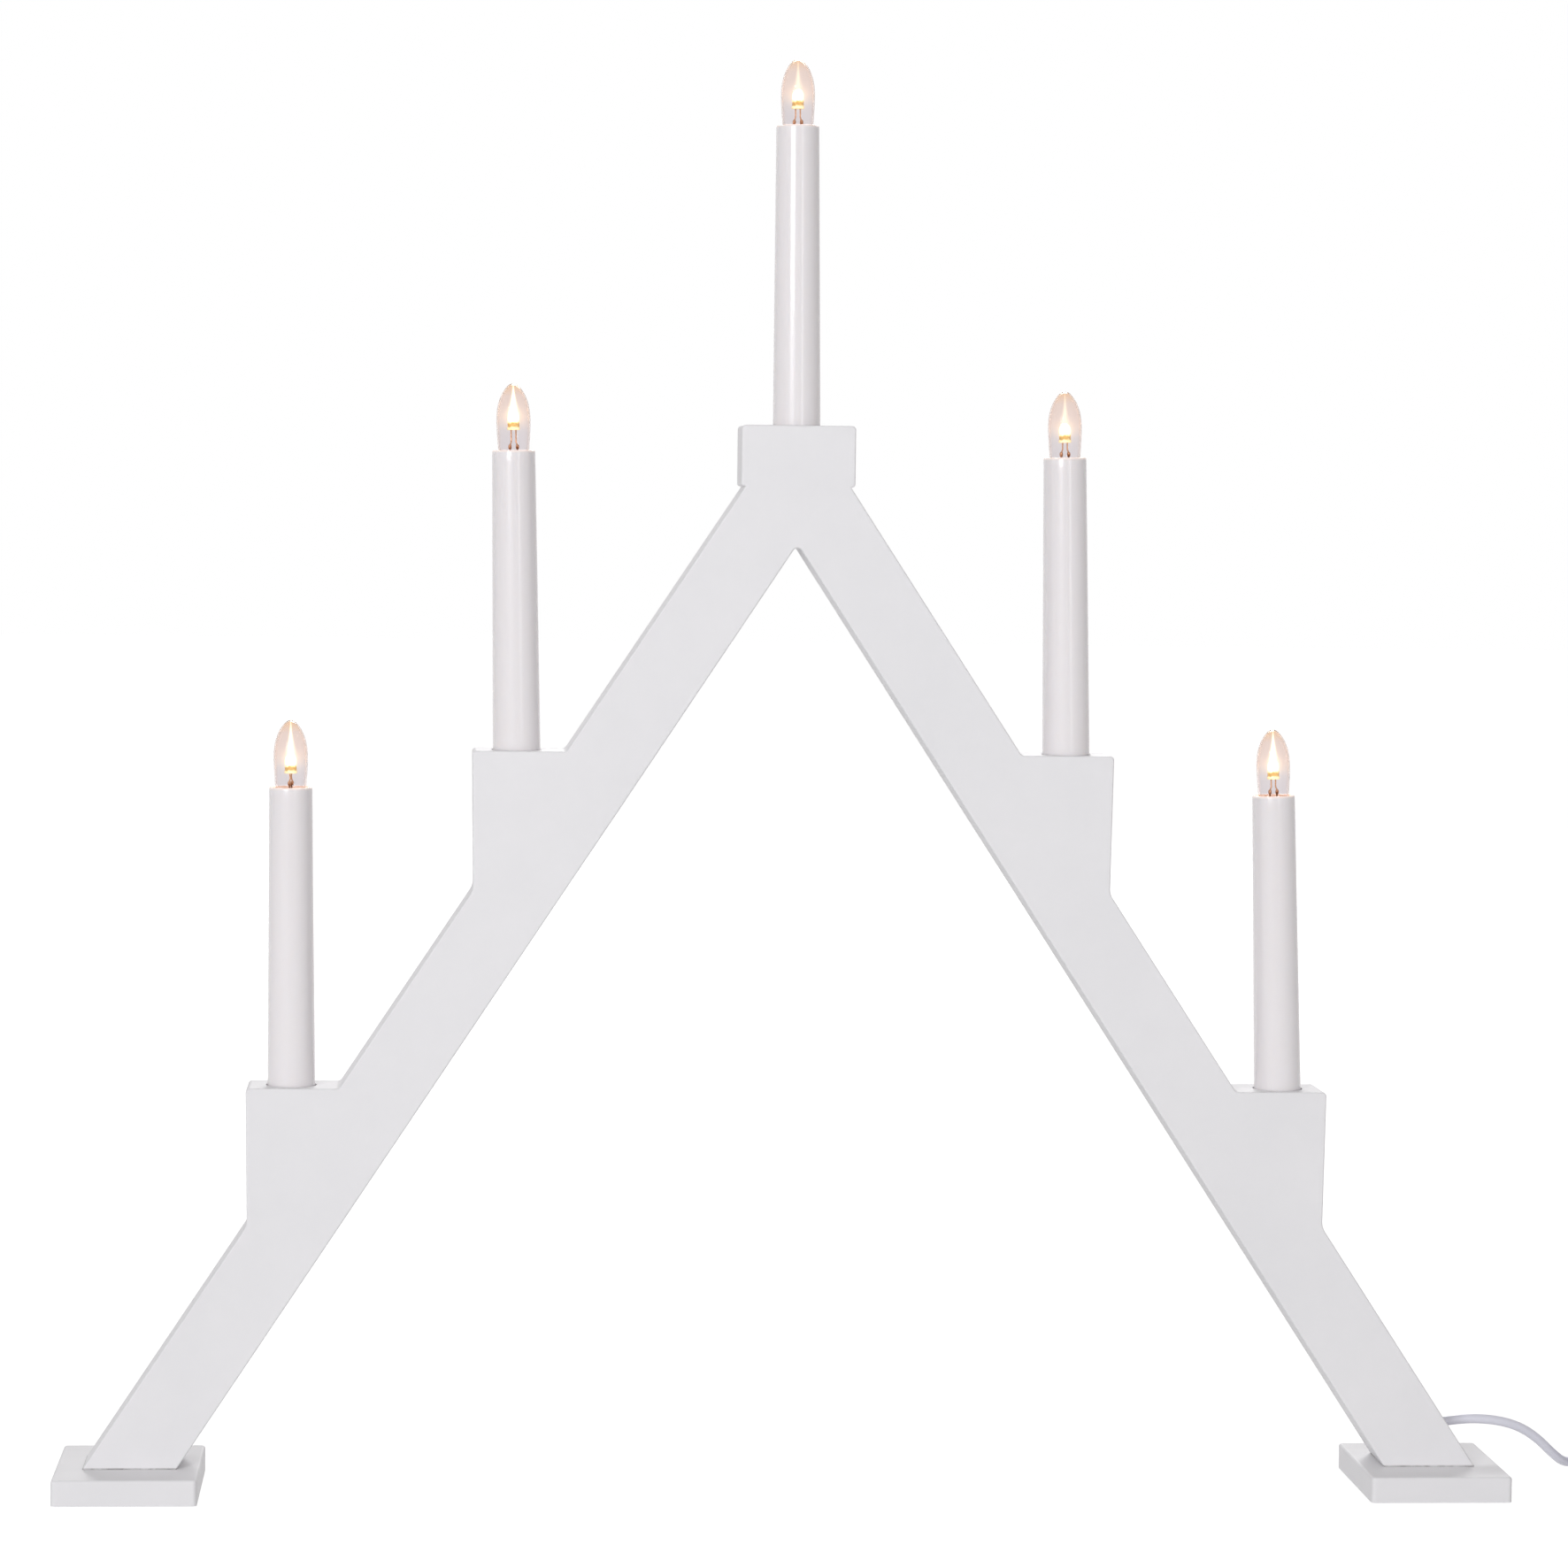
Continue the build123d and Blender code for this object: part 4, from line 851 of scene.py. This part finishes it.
def band(upper, lower):
    """Faces between two rings, either of which may be a single point on the axis."""
    faces = []
    for side in range(TURNED_SIDES):
        after = (side + 1) % TURNED_SIDES
        if len(upper) == 1:
            faces.append((upper[0], lower[side], lower[after]))
        elif len(lower) == 1:
            faces.append((upper[side], lower[0], upper[after]))
        else:
            faces.append((upper[side], lower[side], lower[after], upper[after]))
    return faces


def smooth_outline(points, steps=4):
    """Catmull-Rom points through an outline."""
    result = []
    for index in range(len(points) - 1):
        a = Vector(points[max(index - 1, 0)])
        b = Vector(points[index])
        c = Vector(points[index + 1])
        d = Vector(points[min(index + 2, len(points) - 1)])
        for step in range(steps):
            t = step / steps
            straight = 2 * b + (c - a) * t
            square = (2 * a - 5 * b + 4 * c - d) * t * t
            cube = (3 * b - a - 3 * c + d) * t ** 3
            point = 0.5 * (straight + square + cube)
            result.append((max(point.x, 0.0), point.y))
    result.append(tuple(points[-1]))
    return result


def set_on_candle(obj, name, height=0.0, turn=0.0):
    """Puts a piece drawn about its own axis on its candle's, at a height, turned in degrees."""
    x, z, lean = CANDLES[name]
    place = Matrix.Translation(Vector((x, 0, z)) * MM)
    leaning = Matrix.Rotation(-math.radians(lean), 4, "Y")
    lift = Matrix.Translation(Vector((0, 0, height)) * MM)
    obj.matrix_world = place @ leaning @ lift @ Matrix.Rotation(math.radians(turn), 4, "Z")


def rim_up(outline):
    return [(radius, height + RIM) for radius, height in outline]


def bulb_shell_outline():
    """Outer skin down to the neck and inner skin back up, one wall apart."""
    outer = smooth_outline(BULB_OUTLINE)
    inner = []
    for index, (radius, height) in enumerate(outer):
        before = Vector(outer[max(index - 1, 0)])
        after = Vector(outer[min(index + 1, len(outer) - 1)])
        way = (after - before).normalized()
        normal = Vector((-way.y, way.x))
        moved = Vector((radius, height)) - BULB_WALL * normal
        inner.append((max(moved.x, 0.0), moved.y))
    inner[0] = (0.0, outer[0][1] - BULB_WALL)
    return outer + inner[::-1]


def thread_radius(radius, height, angle):
    """Rolled thread of the cap: a groove that climbs once round for each pitch."""
    local = height - RIM
    if radius < CAP_RADIUS - CAP_WALL / 2 or not THREAD_TO < local < THREAD_FROM:
        return radius
    fade = min(1.0, (THREAD_FROM - local) / THREAD_FADE, (local - THREAD_TO) / THREAD_FADE)
    wave = 0.5 + 0.5 * math.cos(2 * math.pi * local / THREAD_PITCH - angle)
    return radius - THREAD_DEPTH * fade * wave


def cap_outline():
    """Cap from its top edge down its threaded side, round the lower rim and up inside."""
    drop = CAP_LOW + CAP_LIP - CAP_TOP
    side = [(CAP_RADIUS, CAP_TOP + drop * row / CAP_ROWS) for row in range(CAP_ROWS + 1)]
    return side + [
        (CAP_RADIUS - CAP_LIP_ROUND, CAP_LOW + CAP_LIP_ROUND),
        (CAP_RADIUS - CAP_LIP, CAP_LOW),
        (CAP_HOLE_RADIUS, CAP_LOW),
        (CAP_HOLE_RADIUS, CAP_LOW + CAP_FLOOR),
        (CAP_FLOOR_RADIUS, CAP_LOW + CAP_FLOOR),
        (CAP_BORE_RADIUS, CAP_TOP - CAP_BORE_DEPTH),
        (CAP_MOUTH_RADIUS, CAP_TOP - CAP_MOUTH_DEPTH),
        (CAP_MOUTH_RADIUS, CAP_TOP),
    ]


def make_leads(name):
    """The diode's two leads with their crimps."""
    pieces = []
    for side in (-1, 1):
        outline = ((LEAD_RADIUS, LED_RISES[name] + LEAD_OVERLAP), *LEAD_OUTLINE)
        lead = turned_piece(f"lead_{name}", rim_up(outline), COPPER)
        for vertex in lead.data.vertices:
            height = vertex.co.z / MM - RIM
            share = min(max((CRIMP_TOP - height) / CRIMP_RUN, 0.0), 1.0)
            spread = LEAD_SPACING + (CRIMP_SPACING - LEAD_SPACING) * share
            vertex.co.x += side * spread / 2 * MM
            vertex.co.y += LEAD_WAVE * math.sin(height * LEAD_WAVE_RATE + side) * MM
        pieces.append(lead)
    return pieces


def dress_candle(name):
    sleeve = turned_piece(f"candle_sleeve_{name}", SLEEVE_OUTLINE, SLEEVE, closed=True)
    set_on_candle(sleeve, name)
    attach(sleeve, "arch")
    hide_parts(f"sleeve_{name}")

    glass = turned_piece(f"glass_envelope_{name}", rim_up(bulb_shell_outline()), GLASSES[name])
    cap = turned_piece(
        f"threaded_cap_{name}", rim_up(cap_outline()), NICKEL, closed=True, radius_at=thread_radius
    )
    diode = turned_piece(f"diode_{name}", LED_OUTLINE, DIODE)
    leads = make_leads(name)
    for piece, node, slot_name, height in (
        (glass, f"bulb_glass_{name}", "clear_glass", 0.0),
        (cap, f"bulb_cap_{name}", "cap_metal", 0.0),
        (diode, f"led_{name}", "led_resin", RIM + LED_RISES[name]),
    ):
        set_on_candle(piece, name, height)
        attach(piece, f"bulb_{name}")
        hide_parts(node)
    for index, lead in enumerate(leads):
        lead.name = f"diode_lead_{index + 1}_{name}"
        set_on_candle(lead, name, turn=LEAD_TURNS[name])
        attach(lead, f"bulb_{name}")


for candle in CANDLES:
    dress_candle(candle)


# Floor, backdrop and light


def camera_white(material, strength=1.0):
    """White that the camera, reflections and glass see, and that lights nothing."""
    rays = add_node(material, "ShaderNodeLightPath").outputs
    seen = math_node(material, "MAXIMUM", rays["Is Camera Ray"], rays["Is Glossy Ray"])
    seen = math_node(material, "MAXIMUM", seen, rays["Is Transmission Ray"])
    return math_node(material, "MULTIPLY", seen, strength)


def make_floor():
    """A wide white floor, paler as seen than as it lights the object."""
    mesh = bpy.data.meshes.new("floor")
    size = FLOOR_HALF_WIDTH * MM
    corners = [(-size, -size, 0), (size, -size, 0), (size, size, 0), (-size, size, 0)]
    mesh.from_pydata(corners, [], [(0, 1, 2, 3)])
    floor = bpy.data.objects.new("floor", mesh)
    floor.location.z = -FLOOR_DROP * MM
    bpy.context.scene.collection.objects.link(floor)
    material = new_material(
        "floor", Roughness=0.9, Specular_IOR_Level=0.0, Emission_Color=(1, 1, 1, 1)
    )
    inputs = shader_of(material).inputs
    change = FLOOR_SEEN - FLOOR_LIT
    tone = math_node(material, "MULTIPLY_ADD", camera_white(material), change, FLOOR_LIT)
    link(material, tone, inputs["Base Color"])
    link(material, camera_white(material, FLOOR_WHITE), inputs["Emission Strength"])
    floor.data.materials.append(material)


def surrounding_light(world):
    """Level of the light that reaches the object from each side."""
    way = add_node(world, "ShaderNodeTexCoord")
    split = add_node(world, "ShaderNodeSeparateXYZ")
    link(world, way.outputs["Generated"], split.inputs["Vector"])
    along = math_node(world, "ABSOLUTE", split.outputs["Y"])
    above = math_node(world, "MAXIMUM", split.outputs["Z"], 0.0)
    level = math_node(world, "MULTIPLY_ADD", along, LIGHT_ALONG, LIGHT_ROUND)
    return math_node(world, "MULTIPLY_ADD", above, LIGHT_ABOVE, level)


def make_world():
    """White as seen, and the softer surrounding light for the object itself."""
    world = bpy.data.worlds.new("studio")
    bpy.context.scene.world = world
    world.use_nodes = True
    nodes = world.node_tree.nodes
    seen = nodes["Background"]
    seen.inputs["Color"].default_value = (1, 1, 1, 1)
    lighting = add_node(world, "ShaderNodeBackground", Color=(*LIGHT_COLOUR, 1))
    link(world, surrounding_light(world), lighting.inputs["Strength"])
    mix = add_node(world, "ShaderNodeMixShader")
    link(world, camera_white(world), mix.inputs["Fac"])
    link(world, lighting.outputs[0], mix.inputs[1])
    link(world, seen.outputs[0], mix.inputs[2])
    link(world, mix.outputs[0], nodes["World Output"].inputs["Surface"])


def area_light(name, place, target, size, power, colour):
    data = bpy.data.lights.new(name, "AREA")
    data.shape = "RECTANGLE"
    data.size, data.size_y = size
    data.energy = power
    data.color = colour
    light = bpy.data.objects.new(name, data)
    way = Vector(target) - Vector(place)
    turned = way.to_track_quat("-Z", "Y").to_matrix().to_4x4()
    light.matrix_world = Matrix.Translation(place) @ turned
    bpy.context.scene.collection.objects.link(light)


make_floor()
make_world()
for lamp in LAMPS:
    area_light(*lamp)

bpy.context.scene.view_settings.view_transform = "Standard"
